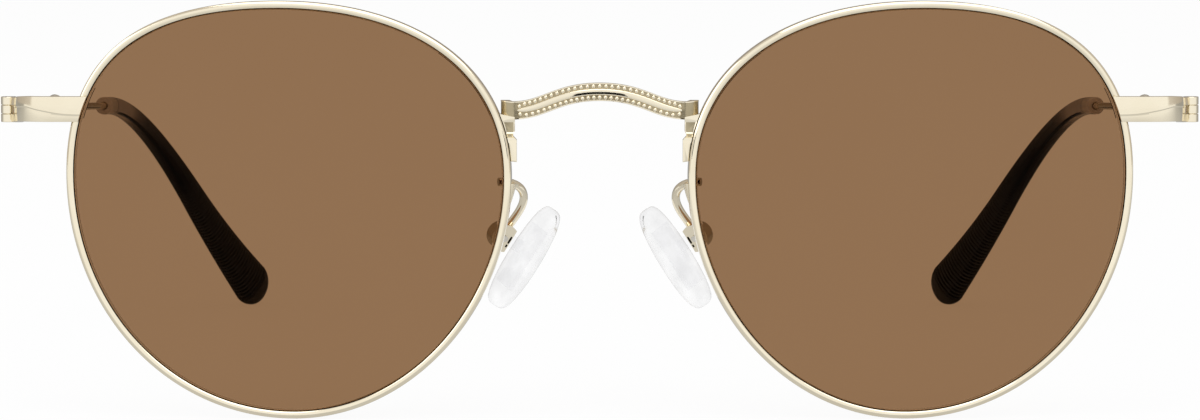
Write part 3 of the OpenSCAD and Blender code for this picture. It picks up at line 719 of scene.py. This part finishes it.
def temple_at(s):
    toe = s * toe_slope + max(0, s - inward_start)**2 / (2 * inward_r)
    straight, bend, rest = min(s, shaft_l), slope_at(s), max(0, s - bend_end)
    drop = straight * math.sin(shaft_slope) + rest * math.sin(ear_slope)
    drop += ear_r * (math.cos(shaft_slope) - math.cos(bend))
    run = straight * math.cos(shaft_slope) + rest * math.cos(ear_slope)
    run += ear_r * (math.sin(bend) - math.sin(shaft_slope))
    return Vector((hinge_x - toe, hinge_back + run, hinge_z - drop))


def temple_frame(s):
    toe = toe_slope + max(0, s - inward_start) / inward_r
    ahead = Vector((-toe, math.cos(slope_at(s)), -math.sin(slope_at(s)))).normalized()
    side = ahead.cross(Vector((0, 0, 1))).normalized()
    return ahead, side.cross(ahead), side


def soft_section(up, side, power, count, turn=0.0):
    ring = []
    for k in range(count):
        a = turn + 2 * math.pi * k / count
        c, s = math.cos(a), math.sin(a)
        ring.append((up / 2 * math.copysign(abs(c)**power, c), side / 2 * math.copysign(abs(s)**power, s)))
    return ring


def path_ring(s, section, off=0.0):
    ahead, up, side = temple_frame(s)
    return [temple_at(s) + off * ahead + y * up + z * side for y, z in section]


print("temple bends from", shaft_l, "to", round(bend_end, 1), "mm behind the hinge")

# %% Temples
temple_start, start_round, start_scale = 1.6, 0.12, 0.9
paddle_t, paddle_w, paddle_end = 3.8, 6.2, 3.0
end_up_way = temple_frame(bend_end + 20)[1]
end_reach = math.hypot(paddle_end * math.sin(ear_slope), paddle_w / 2 * end_up_way.z)
cap_start = bend_end + (temple_at(bend_end).z - end_reach) / math.sin(ear_slope)
wire_end = cap_start - 6
taper_steps, wire_steps = 60, 90
neck_l, neck_back, neck_soft = 1.5, 1.45, 0.08
boxy, temple_points, section_turn = 0.45, 32, math.radians(5.6)


def temple_section(s, scale=1.0):
    t = eased(s / taper_l)
    up, side = strap_h + (wire_d - strap_h) * t, temple_t + (wire_d - temple_t) * t
    return soft_section(up * scale, side * scale, boxy + (1 - boxy) * t, temple_points, section_turn)


def draw_knuckle():
    half = knuckle_h / 2
    return spin_tube(tube_side(-half, half) + [(pin_bore, half)])


def draw_neck():
    bm = bmesh.new()
    made = bmesh.ops.create_cube(bm, size=1)["verts"]
    bmesh.ops.scale(bm, vec=(temple_t, neck_l, knuckle_h), verts=made)
    bmesh.ops.bevel(bm, geom=bm.edges, offset=neck_soft, offset_type="OFFSET", segments=2,
                    profile=0.5, affect="EDGES", material=-1)
    bmesh.ops.translate(bm, vec=(hinge_x, hinge_back + neck_back, hinge_z), verts=bm.verts)
    return bm


def draw_temple():
    flat_l, wire_l = taper_l - temple_start, wire_end - taper_l - 1
    stations = [temple_start + start_round + flat_l * k / taper_steps for k in range(taper_steps + 1)]
    stations += [taper_l + 0.5 + wire_l * k / wire_steps for k in range(wire_steps + 1)]
    rings = [path_ring(temple_start, temple_section(temple_start, start_scale))]
    rings += [path_ring(s, temple_section(s)) for s in stations]
    return join(loft(rings), draw_knuckle(), draw_neck())


place_pair("temple", draw_temple, "gold_plate", "left_temple", "right_temple", crease=40)

# %% [markdown]
# ## Temple tips
# A moulded tip is slipped over the wire. It is a plain sleeve at the open end and widens
# to a flat rounded paddle with fine ribs, the part that holds behind the ear. The skin
# starts inside the bore and turns round the mouth, so the mouth has a real wall. An
# attribute keeps each point's turn and its way along the tip for the finish below.

# %% Temple tips
tip_start, tip_d, wire_gap = 84.6, 2.3, 0.03
tip_l, tip_points = cap_start - tip_start, 40
rib_pitch, rib_deep, rib_from, rib_fade = 0.55, 0.035, 0.6, 0.08
bore_stations, mouth_wall = (4, 2, 0.1), 0.16
mouth_round = ((0.0, 0.86), (0.06, 0.93), (0.16, 0.98), (0.3, 1.0))
smooth_steps, rib_steps, cap_steps, cap_turn = 90, 180, 14, math.radians(88)
cap_l, map_l, tip_growth, tip_power = paddle_end - 0.07, 60, 2.5, 0.9


def tip_section(s, scale=1.0):
    part = (min(s, cap_start) - tip_start) / tip_l
    groove = 0.5 - 0.5 * math.cos(2 * math.pi * (s - tip_start) / rib_pitch)
    cut = 2 * rib_deep * groove * eased((part - rib_from) / rib_fade) if s <= cap_start else 0
    up, side = (tip_d + (width - tip_d) * part**tip_growth - cut for width in (paddle_w, paddle_t))
    return soft_section(up * scale, side * scale, tip_power, tip_points)


def draw_tip():
    bore = wire_d + 2 * wire_gap
    inner = soft_section(bore, bore, 1.0, tip_points)
    rings = [path_ring(tip_start + s, inner) for s in bore_stations]
    mouth = soft_section(bore + mouth_wall, bore + mouth_wall, 1.0, tip_points)
    rings.append(path_ring(tip_start, mouth))
    for off, scale in mouth_round:
        rings.append(path_ring(tip_start + off, tip_section(tip_start + off, scale)))
    lengths = [0.0] * len(rings)
    smooth_l = rib_from * tip_l
    stations = [0.5 + (smooth_l - 0.5) * k / smooth_steps for k in range(smooth_steps)]
    stations += [smooth_l + (tip_l - smooth_l) * k / rib_steps for k in range(rib_steps + 1)]
    for along in stations:
        rings.append(path_ring(tip_start + along, tip_section(tip_start + along)))
        lengths.append(along / map_l)
    for k in range(1, cap_steps + 1):
        a = cap_turn * k / cap_steps
        rings.append(path_ring(cap_start + cap_l * math.sin(a), tip_section(cap_start, math.cos(a))))
        lengths.append(1.0)
    return loft(rings, lengths=lengths)


place_pair("temple_tip", draw_tip, "tip_dark", "left_temple", "right_temple", crease=50)

# %% [markdown]
# ## Nose pads
# A nose pad is a soft drop of clear silicone moulded round a harder lug. It is widest below
# its middle and thins to a round lip on all sides. Oval rings along its length give that
# form, in the pad's own tilted and splayed frame.

# %% Nose pads
pad_l, pad_w, pad_t = 13.0, 6.8, 3.0
pad_tilt, pad_splay = math.radians(32), math.radians(22)
pad_stem, stem_up, ear_d = 3.6, 0.85, 3.2
pad_place = Vector((8.8, 7.0, lens_z - 5.95))
pad_cap_turn, box_share, nose_share = math.radians(88), 0.85, 1.15
width_power, depth_power, pad_taper = 0.62, 0.45, 0.05


def pad_point(p):
    x = p[0] * math.cos(pad_splay) + p[1] * math.sin(pad_splay)
    y = p[1] * math.cos(pad_splay) - p[0] * math.sin(pad_splay)
    z = x * math.sin(pad_tilt) + p[2] * math.cos(pad_tilt)
    return pad_place + Vector((x * math.cos(pad_tilt) - p[2] * math.sin(pad_tilt), y, z))


def draw_pad(rings=40, points=48):
    skins = []
    for k in range(rings + 1):
        a = pad_cap_turn * (2 * k / rings - 1)
        w = pad_w / 2 * math.cos(a)**width_power * (1 - pad_taper * math.sin(a))
        t = pad_t / 2 * math.cos(a)**depth_power
        ring = []
        for j in range(points):
            b = 2 * math.pi * j / points
            thick = t * math.cos(b) * (box_share if math.cos(b) > 0 else nose_share)
            ring.append(pad_point((thick, w * math.sin(b), pad_l / 2 * math.sin(a))))
        skins.append(ring)
    return loft(skins)


place_pair("nose_pad", draw_pad, "clear_silicone", "left_pad", "right_pad", crease=60)

# %% [markdown]
# ## Pad boxes
# A pad box is bent from sheet, with a cheek on each side of the pad's lug. Between the screw
# and the pad, the front cheek is open in two places. Two rounded plugs are taken out of a
# merged copy, as a punch would do it, and their walls are painted near-black as shade.

# %% Pad boxes
cheek_front, opening_deep, plug_out, plug_power, plug_points = -1.03, 0.32, 0.3, 0.6, 24
openings = [((-0.615, 0.12), (0.125, 0.46)), ((-0.6, -0.66), (0.11, 0.17))]
on_the_plug = 2e-6


def in_metres(p, side):
    return Vector((side * p.x, p.y + shift, p.z)) * to_metres


def draw_plug(middle, half, side):
    rings = []
    for y in (cheek_front - plug_out, cheek_front + opening_deep):
        outline = [(pad_stem + middle[0] + x, y, stem_up + middle[1] + z)
                   for x, z in soft_section(2 * half[0], 2 * half[1], plug_power, plug_points)]
        rings.append([in_metres(pad_point(p), side) for p in outline])
    return loft(rings)


def take_out(bm, plug):
    whole, cutter = to_object("whole", bm), to_object("plug", plug)
    cut = whole.modifiers.new("opening", "BOOLEAN")
    cut.object = cutter
    cut.operation = "DIFFERENCE"
    cut.solver = "EXACT"
    left_over = bmesh.new()
    left_over.from_object(whole, bpy.context.evaluated_depsgraph_get())
    for holder in (whole, cutter):
        mesh = holder.data
        bpy.data.objects.remove(holder)
        bpy.data.meshes.remove(mesh)
    return left_over


def draw_pad_box(side, node):
    plugs = join(*[draw_plug(middle, half, side) for middle, half in openings])
    plug_walls = BVHTree.FromBMesh(plugs)
    box = take_out(merged_copy(node), plugs)
    for face in box.faces:
        away = plug_walls.find_nearest(face.calc_center_median())[3]
        # Faces on a plug's walls take the near-black second material, painted shade.
        face.material_index = 1 if away < on_the_plug else 0
    return box


pad_boxes = []
for side, node in ((1, "left_pad_box"), (-1, "right_pad_box")):
    pad_boxes.append(place(node + "_skin", draw_pad_box(side, node), node, "root", "gold_plate",
                           edge=0.04, crease=30, metres=True))
    print(node, len(pad_boxes[-1].data.polygons), "faces")

# %% [markdown]
# ## Pad arms
# A short bent wire is soldered to the back of the rim, loops over towards the nose and
# comes down to the pad box. Two smooth curves give its path, and a round section follows it.
# A thin fillet of solder runs down the rim below its root.

# %% Pad arms
arm_d, arm_up, arm_inside, arm_points = 0.95, 3.2, 0.65, 24
arm_bend_in, arm_bend_share, arm_bend_drop = 2.85, 0.58, 1.9
arm_root = on_rim(nose_way(arm_up), behind=rim_half)
arm_root += Vector((arm_inside, arm_d / 2 + solder_gap, 0))
arm_end = pad_point((pad_stem, 0, stem_up + ear_d / 2 - 0.2))
bend_back = (arm_end.y - arm_root.y) * arm_bend_share
arm_bend = arm_root + Vector((-arm_bend_in, bend_back, -arm_bend_drop))
root_pull, bend_pull, end_pull = (Vector(p) for p in ((-1.6, 0.5, 0.05), (0.05, -1, 1.3), (-0.6, -0.4, 1)))
arm_over = [arm_root, arm_root + root_pull, arm_bend + bend_pull, arm_bend]
arm_down = [arm_bend, arm_bend - bend_pull, arm_end + end_pull, arm_end]
solder_up, solder_l, solder_in, solder_thin, solder_points = 3.1, 2.5, 0.15, 0.05, 20
solder_wide, solder_deep, wide_power, deep_power = 0.62, 0.75, 0.8, 0.6


def draw_arm(steps=32):
    stations = [(arm_over, k / steps) for k in range(steps + 1)]
    stations += [(arm_down, k / steps) for k in range(1, steps + 1)]
    rings = []
    for curve, t in stations:
        ahead = along_curve(curve, t).normalized()
        across = (Vector((0, 1, 0)) - ahead.y * ahead).normalized()
        other = ahead.cross(across)
        rings.append([on_curve(curve, t) + y * across + z * other
                      for y, z in soft_section(arm_d, arm_d, 1.0, arm_points)])
    return loft(rings)


def draw_solder(steps=10):
    rings = []
    for k in range(steps + 1):
        way = nose_way(solder_up - solder_l * k / steps)
        at = edge_at(way, rim_w - solder_in)
        out, depth = (at - edge_at(way)).normalized(), depth_at(edge_at(way)) + rim_half - solder_in
        wide = solder_wide * (1 - k / steps)**wide_power + solder_thin
        deep = solder_deep * (1 - k / steps)**deep_power + solder_thin
        rings.append([in_space(at + x * out, depth + y)
                      for x, y in soft_section(2 * wide, 2 * deep, 1.0, solder_points)])
    return loft(rings)


def draw_soldered_arm():
    return join(draw_arm(), draw_solder())


place_pair("pad_arm", draw_soldered_arm, "gold_plate", edge=0.08, crease=50)

# %% [markdown]
# ## Finishes
# Real plated wire is never one flat colour. Fine polishing lines and a trace of tarnish
# vary its gloss and tone. One node group makes the lines and one the tone, and each
# material places them with its own values.

# %% Helpers for shader nodes
def new_group(name, inputs, outputs):
    group = bpy.data.node_groups.new(name, "ShaderNodeTree")
    for label, kind, value in inputs:
        socket = group.interface.new_socket(name=label, in_out="INPUT", socket_type=kind)
        socket.default_value = value
    for label, kind in outputs:
        group.interface.new_socket(name=label, in_out="OUTPUT", socket_type=kind)
    enter, leave = group.nodes.new("NodeGroupInput"), group.nodes.new("NodeGroupOutput")
    return group, enter, leave


def node(tree, kind, values=(), **settings):
    made = tree.nodes.new(kind)
    for key, value in settings.items():
        setattr(made, key, value)
    for key, value in dict(values).items():
        made.inputs[key].default_value = value
    return made


def wire(tree, *links):
    for source, out, target, into in links:
        tree.links.new(source.outputs[out], target.inputs[into])


def map_range(tree, low=0.0, high=1.0, **settings):
    return node(tree, "ShaderNodeMapRange", {"From Min": low, "From Max": high}, **settings)


def mix_of(tree, **values):
    return node(tree, "ShaderNodeMix", values, data_type="RGBA")


def ramp_of(tree, stops):
    made = node(tree, "ShaderNodeValToRGB")
    for at, colour in stops[1:-1]:
        made.color_ramp.elements.new(at)
    for element, (at, colour) in zip(made.color_ramp.elements, stops):
        element.position = at
        element.color = (*colour, 1)
    return made


def math_of(tree, operation, one, other, **settings):
    made = node(tree, "ShaderNodeMath", operation=operation, **settings)
    wire(tree, (*one, made, 0), (*other, made, 1))
    return made


print("shader helpers", [f.__name__ for f in (new_group, node, wire, map_range, mix_of, ramp_of, math_of)])

# %% Node groups that several finishes share
def polish_group():
    group, enter, leave = new_group(
        "polish lines",
        [("Fineness", "NodeSocketFloat", 900.0), ("Smooth", "NodeSocketFloat", 0.14),
         ("Rough", "NodeSocketFloat", 0.24)],
        [("Roughness", "NodeSocketFloat"), ("Height", "NodeSocketFloat")])
    place_in = node(group, "ShaderNodeTexCoord")
    stretch = node(group, "ShaderNodeMapping", {"Scale": (1.0, 1.0, 6.0)})
    lines = node(group, "ShaderNodeTexNoise", {"Detail": 4.0})
    spread = map_range(group)
    wire(group,
         (place_in, "Object", stretch, "Vector"), (stretch, "Vector", lines, "Vector"),
         (enter, "Fineness", lines, "Scale"), (lines, "Fac", spread, "Value"),
         (enter, "Smooth", spread, "To Min"), (enter, "Rough", spread, "To Max"),
         (spread, "Result", leave, "Roughness"), (lines, "Fac", leave, "Height"))
    return group


def tone_group():
    group, enter, leave = new_group(
        "uneven tone",
        [("Colour", "NodeSocketColor", (1, 1, 1, 1)),
         ("Other colour", "NodeSocketColor", (0.5, 0.5, 0.5, 1)),
         ("Patch size", "NodeSocketFloat", 300.0), ("Amount", "NodeSocketFloat", 0.4)],
        [("Colour", "NodeSocketColor")])
    place_in = node(group, "ShaderNodeTexCoord")
    patches = node(group, "ShaderNodeTexNoise", {"Detail": 3.0})
    spread = map_range(group, 0.35, 0.75)
    mix = mix_of(group)
    wire(group,
         (place_in, "Object", patches, "Vector"), (enter, "Patch size", patches, "Scale"),
         (patches, "Fac", spread, "Value"), (enter, "Amount", spread, "To Max"),
         (spread, "Result", mix, "Factor"), (enter, "Colour", mix, "A"),
         (enter, "Other colour", mix, "B"), (mix, "Result", leave, "Colour"))
    return group


polish, tone = polish_group(), tone_group()
print("groups", polish.name, "and", tone.name)

# %% A helper that puts a finish on every piece placed with its name
line_depth = 0.00002


def new_material(name, **shader):
    material = bpy.data.materials.new(name)
    material.use_nodes = True
    body = material.node_tree.nodes["Principled BSDF"]
    for key, value in shader.items():
        body.inputs[key.replace("_", " ")].default_value = value
    return material, material.node_tree, body


def finish(name, colour, other, amount, patch, smooth, rough, fineness, bump=0.0, **shader):
    material, tree, body = new_material(name, **shader)
    tones = {"Colour": (*colour, 1), "Other colour": (*other, 1), "Patch size": patch, "Amount": amount}
    gloss = {"Fineness": fineness, "Smooth": smooth, "Rough": rough}
    shade = node(tree, "ShaderNodeGroup", tones, name="tone", node_tree=tone)
    lines = node(tree, "ShaderNodeGroup", gloss, node_tree=polish)
    wire(tree, (shade, "Colour", body, "Base Color"), (lines, "Roughness", body, "Roughness"))
    if bump:
        scratches = node(tree, "ShaderNodeBump", {"Strength": bump, "Distance": line_depth})
        wire(tree, (lines, "Height", scratches, "Height"), (scratches, "Normal", body, "Normal"))
    for piece in finishes.get(name, []):
        piece.data.materials.append(material)
    print(name, "on", len(finishes.get(name, [])), "pieces")
    return material


# %% [markdown]
# ## Metals
# The frame is plated in pale gold over polished wire, and its six screws are plain steel.
# The bridge's floor, its turned ends and the pressed-in panels of its feet get a darker,
# rougher gold, painted as shade, and the walls of the pad boxes' openings are nearly black,
# also painted shade. Both are second materials on faces that were marked when the piece was drawn.

# %% Metals
finish("gold_plate", (0.93, 0.85, 0.67), (0.84, 0.75, 0.56), amount=0.45, patch=260,
       smooth=0.05, rough=0.11, fineness=2200, bump=0.1, Metallic=1.0)
finish("screw_steel", (0.82, 0.78, 0.70), (0.62, 0.59, 0.52), amount=0.6, patch=700,
       smooth=0.14, rough=0.28, fineness=3000, bump=0.2, Metallic=1.0)
# A darker, rougher gold, painted as shade on the bridge's floor, turned ends and foot panels.
painted_shade_gold = finish("gold_painted_shade", (0.48, 0.41, 0.27), (0.36, 0.3, 0.19), amount=0.6, patch=500,
                smooth=0.25, rough=0.4, fineness=2200, Metallic=1.0)
bridge_piece.data.materials.append(painted_shade_gold)
# Nearly black, painted as the shade inside the pad boxes' openings.
inside = finish("inside_painted_shade", (0.05, 0.042, 0.03), (0.02, 0.017, 0.012), amount=0.8, patch=900,
                smooth=0.3, rough=0.5, fineness=2200, Metallic=1.0)
for piece in pad_boxes:
    piece.data.materials.append(inside)

# %% [markdown]
# ## Lens tint
# A sun lens is dyed evenly through and coated against reflections, so the photo shows flat
# brown without a mirror image. Clear transmission with the tint as its colour gives that,
# and an index just above that of air stands for the coating.

# %% Lens tint
finish("lens_brown", (0.288, 0.165, 0.085), (0.284, 0.161, 0.082), amount=0.6, patch=60,
       smooth=0.0, rough=0.002, fineness=400, Transmission_Weight=1.0, IOR=1.07)

# %% [markdown]
# ## The finish of the temple tips
# A moulded tip is black at the paddle and clear grey at its open end, where a dark line
# shows the wire in its core. A ramp along the tip gives the change of tone. The line lies where
# the attribute's turn points to the side that the photo shows. The tops of the ribs are painted
# a little lighter by a wave of the same pitch.

# %% Temple tips: tones along the tip
tip_material = finish("tip_dark", (1, 1, 1), (0.7, 0.66, 0.62), amount=0.8, patch=400,
                      smooth=0.1, rough=0.2, fineness=900, bump=0.1,
                      Specular_IOR_Level=0.05, IOR=1.49)
tip_tree = tip_material.node_tree
tip_tones = [
    (0.0, (0.5, 0.44, 0.40)), (0.058, (0.46, 0.41, 0.37)), (0.064, (0.10, 0.085, 0.075)),
    (0.07, (0.34, 0.30, 0.28)), (0.18, (0.33, 0.29, 0.265)), (0.245, (0.09, 0.075, 0.068)),
    (0.30, (0.028, 0.024, 0.021)), (0.43, (0.010, 0.008, 0.007)),
    (0.66, (0.003, 0.0025, 0.002)), (1.0, (0.003, 0.002, 0.001))]
skin_map = node(tip_tree, "ShaderNodeAttribute", attribute_name="skin_map")
skin_parts = node(tip_tree, "ShaderNodeSeparateXYZ")
ramp = ramp_of(tip_tree, tip_tones)
mottle = node(tip_tree, "ShaderNodeMix", {"Factor": 1.0}, data_type="RGBA", blend_type="MULTIPLY")
wire(tip_tree,
     (skin_map, "Vector", skin_parts, "Vector"), (skin_parts, "Z", ramp, "Fac"),
     (ramp, "Color", mottle, "A"), (tip_tree.nodes["tone"], "Colour", mottle, "B"))
print("tip tones at", [round(at * map_l, 1) for at, colour in tip_tones], "mm")

# %% Temple tips: the core's line and the lighter rib tops
core_turn = (-0.809, -0.588, 0)
core_colour, lighter_rib_colour = (0.0, 0.0, 0.0, 1), (0.035, 0.03, 0.026, 1)


def paint_over(below, colour, *masks):
    mask = math_of(tip_tree, "MULTIPLY", *[(mask, "Result") for mask in masks])
    layer = mix_of(tip_tree, B=colour)
    wire(tip_tree, (below, "Result", layer, "A"), (mask, "Value", layer, "Factor"))
    return layer


core_flat = node(tip_tree, "ShaderNodeVectorMath", {1: (1, 1, 0)}, operation="MULTIPLY")
core_side = node(tip_tree, "ShaderNodeVectorMath", {1: core_turn}, operation="DOT_PRODUCT")
core_width = map_range(tip_tree, 0.97, 0.982, interpolation_type="SMOOTHSTEP")
core_from = map_range(tip_tree, 0.075, 0.095)
rib_waves = map_l / rib_pitch * 2 * math.pi
rib_turn = node(tip_tree, "ShaderNodeMath", {1: rib_waves}, operation="MULTIPLY")
rib_wave = node(tip_tree, "ShaderNodeMath", operation="COSINE")
rib_top = map_range(tip_tree, interpolation_type="SMOOTHSTEP")
paddle_only = map_range(tip_tree, rib_from * tip_l / map_l, (rib_from + 0.1) * tip_l / map_l)
wire(tip_tree,
     (skin_map, "Vector", core_flat, 0), (core_flat, "Vector", core_side, 0),
     (core_side, "Value", core_width, "Value"), (skin_parts, "Z", core_from, "Value"),
     (skin_parts, "Z", rib_turn, 0), (rib_turn, "Value", rib_wave, 0),
     (rib_wave, "Value", rib_top, "Value"), (skin_parts, "Z", paddle_only, "Value"))
core_line = paint_over(mottle, core_colour, core_width, core_from)
lighter_rib_tops = paint_over(core_line, lighter_rib_colour, rib_top, paddle_only)
wire(tip_tree, (lighter_rib_tops, "Result", tip_tree.nodes["Principled BSDF"], "Base Color"))
print("ribs every", rib_pitch, "mm")

# %% [markdown]
# ## Nose pads and their cores
# Moulded silicone is clear but never clean: it has faint milky patches and a soft bloom on
# its skin. The harder core inside is clearer. Low indexes keep both as pale as in the photo.

# %% Silicone pads and their cores
finish("clear_silicone", (0.99, 0.99, 0.99), (0.8, 0.8, 0.805), amount=1.0, patch=420,
       smooth=0.1, rough=0.14, fineness=150, Transmission_Weight=1.0, IOR=1.12)
finish("clear_core", (0.96, 0.96, 0.965), (0.93, 0.93, 0.935), amount=0.6, patch=300,
       smooth=0.02, rough=0.06, fineness=500, Transmission_Weight=1.0, IOR=1.01)

# %% [markdown]
# ## The table
# The glasses stand on a plain white table. To the eye it is mostly a steady white and partly
# a lit surface, so that it stays white and still takes a faint shadow. To polished metal it
# is white in front and grey towards the back, which gives the wires their darker sides.

# %% The table
table_half, white_share = 60, 0.93
table_front, table_back = -0.5, 0.3
table_tones = [(0.0, 0.98), (0.3, 0.95), (0.45, 0.75), (0.6, 0.5), (1.0, 0.35)]


def matt_material(name, light):
    return new_material(name, Base_Color=(light, light, light, 1), Roughness=0.9,
                        Specular_IOR_Level=0.0)


ground = bmesh.new()
bmesh.ops.create_grid(ground, x_segments=1, y_segments=1, size=table_half)
table_top = to_object("table", ground)
white, tree, lit = matt_material("white table", 0.9)
rays = node(tree, "ShaderNodeLightPath")
mirrored, through = (rays, "Is Glossy Ray"), (rays, "Is Transmission Ray")
seen = math_of(tree, "MAXIMUM", (rays, "Is Camera Ray"), mirrored)
seen_too = math_of(tree, "MAXIMUM", (seen, "Value"), through)
mirrored_only = math_of(tree, "SUBTRACT", mirrored, through, use_clamp=True)
share = node(tree, "ShaderNodeMath", {1: white_share}, operation="MULTIPLY")
steady = node(tree, "ShaderNodeEmission", {"Color": (1, 1, 1, 1)})
blend_in = node(tree, "ShaderNodeMixShader")
under = node(tree, "ShaderNodeTexCoord")
place_y = node(tree, "ShaderNodeSeparateXYZ")
depth_share = map_range(tree, table_front, table_back)
shade_of = ramp_of(tree, [(at, (light, light, light)) for at, light in table_tones])
steady_level = node(tree, "ShaderNodeMix", {"A": 1.0})
wire(tree,
     (under, "Object", place_y, "Vector"), (place_y, "Y", depth_share, "Value"),
     (depth_share, "Result", shade_of, "Fac"), (shade_of, "Color", steady_level, "B"),
     (mirrored_only, "Value", steady_level, "Factor"), (steady_level, "Result", steady, "Strength"),
     (seen_too, "Value", share, 0), (share, "Value", blend_in, "Fac"),
     (lit, "BSDF", blend_in, 1), (steady, "Emission", blend_in, 2),
     (blend_in, "Shader", tree.nodes["Material Output"], "Surface"))
table_top.data.materials.append(white)
print("table laid")

# %% [markdown]
# ## The surroundings
# Eyes and lenses see plain white all round. Polished metal mirrors its surroundings, and in
# a room of one white it would look flat. Reflections therefore see white cards in front and
# warm grey ones at the sides and behind, as in a studio. Diffuse light is a soft grey fill.

# %% The surroundings
fill = (0.7, 0.7, 0.7, 1)
cards = [(0.0, 1.0), (0.2, 1.0), (0.27, 0.66), (0.5, 0.56), (0.8, 0.48), (1.0, 0.32)]


def card_colour(light):
    warm = 1 - 0.3 * (1 - light)
    return light, light * (1 + warm) / 2, light * warm


world = bpy.data.worlds.new("surroundings")
bpy.context.scene.world = world
world.use_nodes = True
tree = world.node_tree
way_out = node(tree, "ShaderNodeTexCoord")
way_parts = node(tree, "ShaderNodeSeparateXYZ")
front_to_back = map_range(tree, -1.0)
studio = ramp_of(tree, [(at, card_colour(light)) for at, light in cards])
rays = node(tree, "ShaderNodeLightPath")
seen = math_of(tree, "MAXIMUM", (rays, "Is Camera Ray"), (rays, "Is Transmission Ray"))
gloss = mix_of(tree, A=fill)
level = mix_of(tree, B=(1, 1, 1, 1))
wire(tree,
     (way_out, "Generated", way_parts, "Vector"), (way_parts, "Y", front_to_back, "Value"),
     (front_to_back, "Result", studio, "Fac"), (rays, "Is Glossy Ray", gloss, "Factor"),
     (studio, "Color", gloss, "B"), (seen, "Value", level, "Factor"),
     (gloss, "Result", level, "A"), (level, "Result", tree.nodes["Background"], "Color"))
print("surroundings of", len(cards), "tones for reflections")

# %% [markdown]
# ## Lamps
# Two large soft lamps, one overhead and one from the side, give the faint shadow on the
# table. They are weak, because most of the light comes from the white surroundings.

# %% Lamps
lamps_aim = (0, 0, 0.02)


def aim(data, at, target):
    holder = bpy.data.objects.new(data.name, data)
    holder.location = at
    holder.rotation_euler = (Vector(target) - Vector(at)).to_track_quat("-Z", "Y").to_euler()
    bpy.context.scene.collection.objects.link(holder)
    return holder


def soft_lamp(name, at, size, power):
    lamp = bpy.data.lights.new(name, "AREA")
    lamp.shape = "SQUARE"
    lamp.size = size
    lamp.energy = power
    aim(lamp, at, lamps_aim).visible_camera = False


soft_lamp("overhead", (0.2, -0.6, 1.4), 1.6, 9)
soft_lamp("side", (-1.3, -0.7, 0.8), 0.9, 3)

# %% [markdown]
# ## A black card
# The photo has one black streak along the bridge's band, the mirror image of a dark card
# close by. A small card in front of the bridge gives it. Only reflections see the card, so
# it neither shows nor shades anything.

# %% Black card in front of the bridge
card_w, card_h, card_up, card_away = 0.0084, 0.0044, 0.0332, 0.012
bridge_front = foot_y - bridge_bow - bridge_t / 2 + shift
flag = bmesh.new()
bmesh.ops.create_grid(flag, x_segments=1, y_segments=1, size=0.5)
bmesh.ops.scale(flag, vec=(card_w, card_h, 1), verts=flag.verts)
bmesh.ops.rotate(flag, matrix=Matrix.Rotation(math.pi / 2, 3, "X"), verts=flag.verts)
bmesh.ops.translate(flag, vec=(0, bridge_front * to_metres - card_away, card_up), verts=flag.verts)
black_card = to_object("black_card", flag)
for kind in ("camera", "diffuse", "transmission", "volume_scatter", "shadow"):
    setattr(black_card, "visible_" + kind, False)
black_card.data.materials.append(matt_material("black card", 0.01)[0])
print("black card", round(card_away / to_metres), "mm in front of", round(bridge_front, 2))

# %% [markdown]
# ## Camera
# One perspective camera was fitted to both rims and both temple tips of the photo. It
# stands a little over half a metre in front, above the frame, and looks slightly down.

# %% Camera
camera_x = 0.00003
camera_data = bpy.data.cameras.new("camera")
camera_data.lens = 147.5
camera_data.sensor_width = 36.0
camera_data.clip_start = 0.01
camera_data.clip_end = 200.0
camera = aim(camera_data, (camera_x, -0.6255, 0.0654), (camera_x, -0.0682, 0.02374))
bpy.context.scene.camera = camera
bpy.context.scene.view_settings.view_transform = "Standard"
print("camera at", tuple(camera.location))
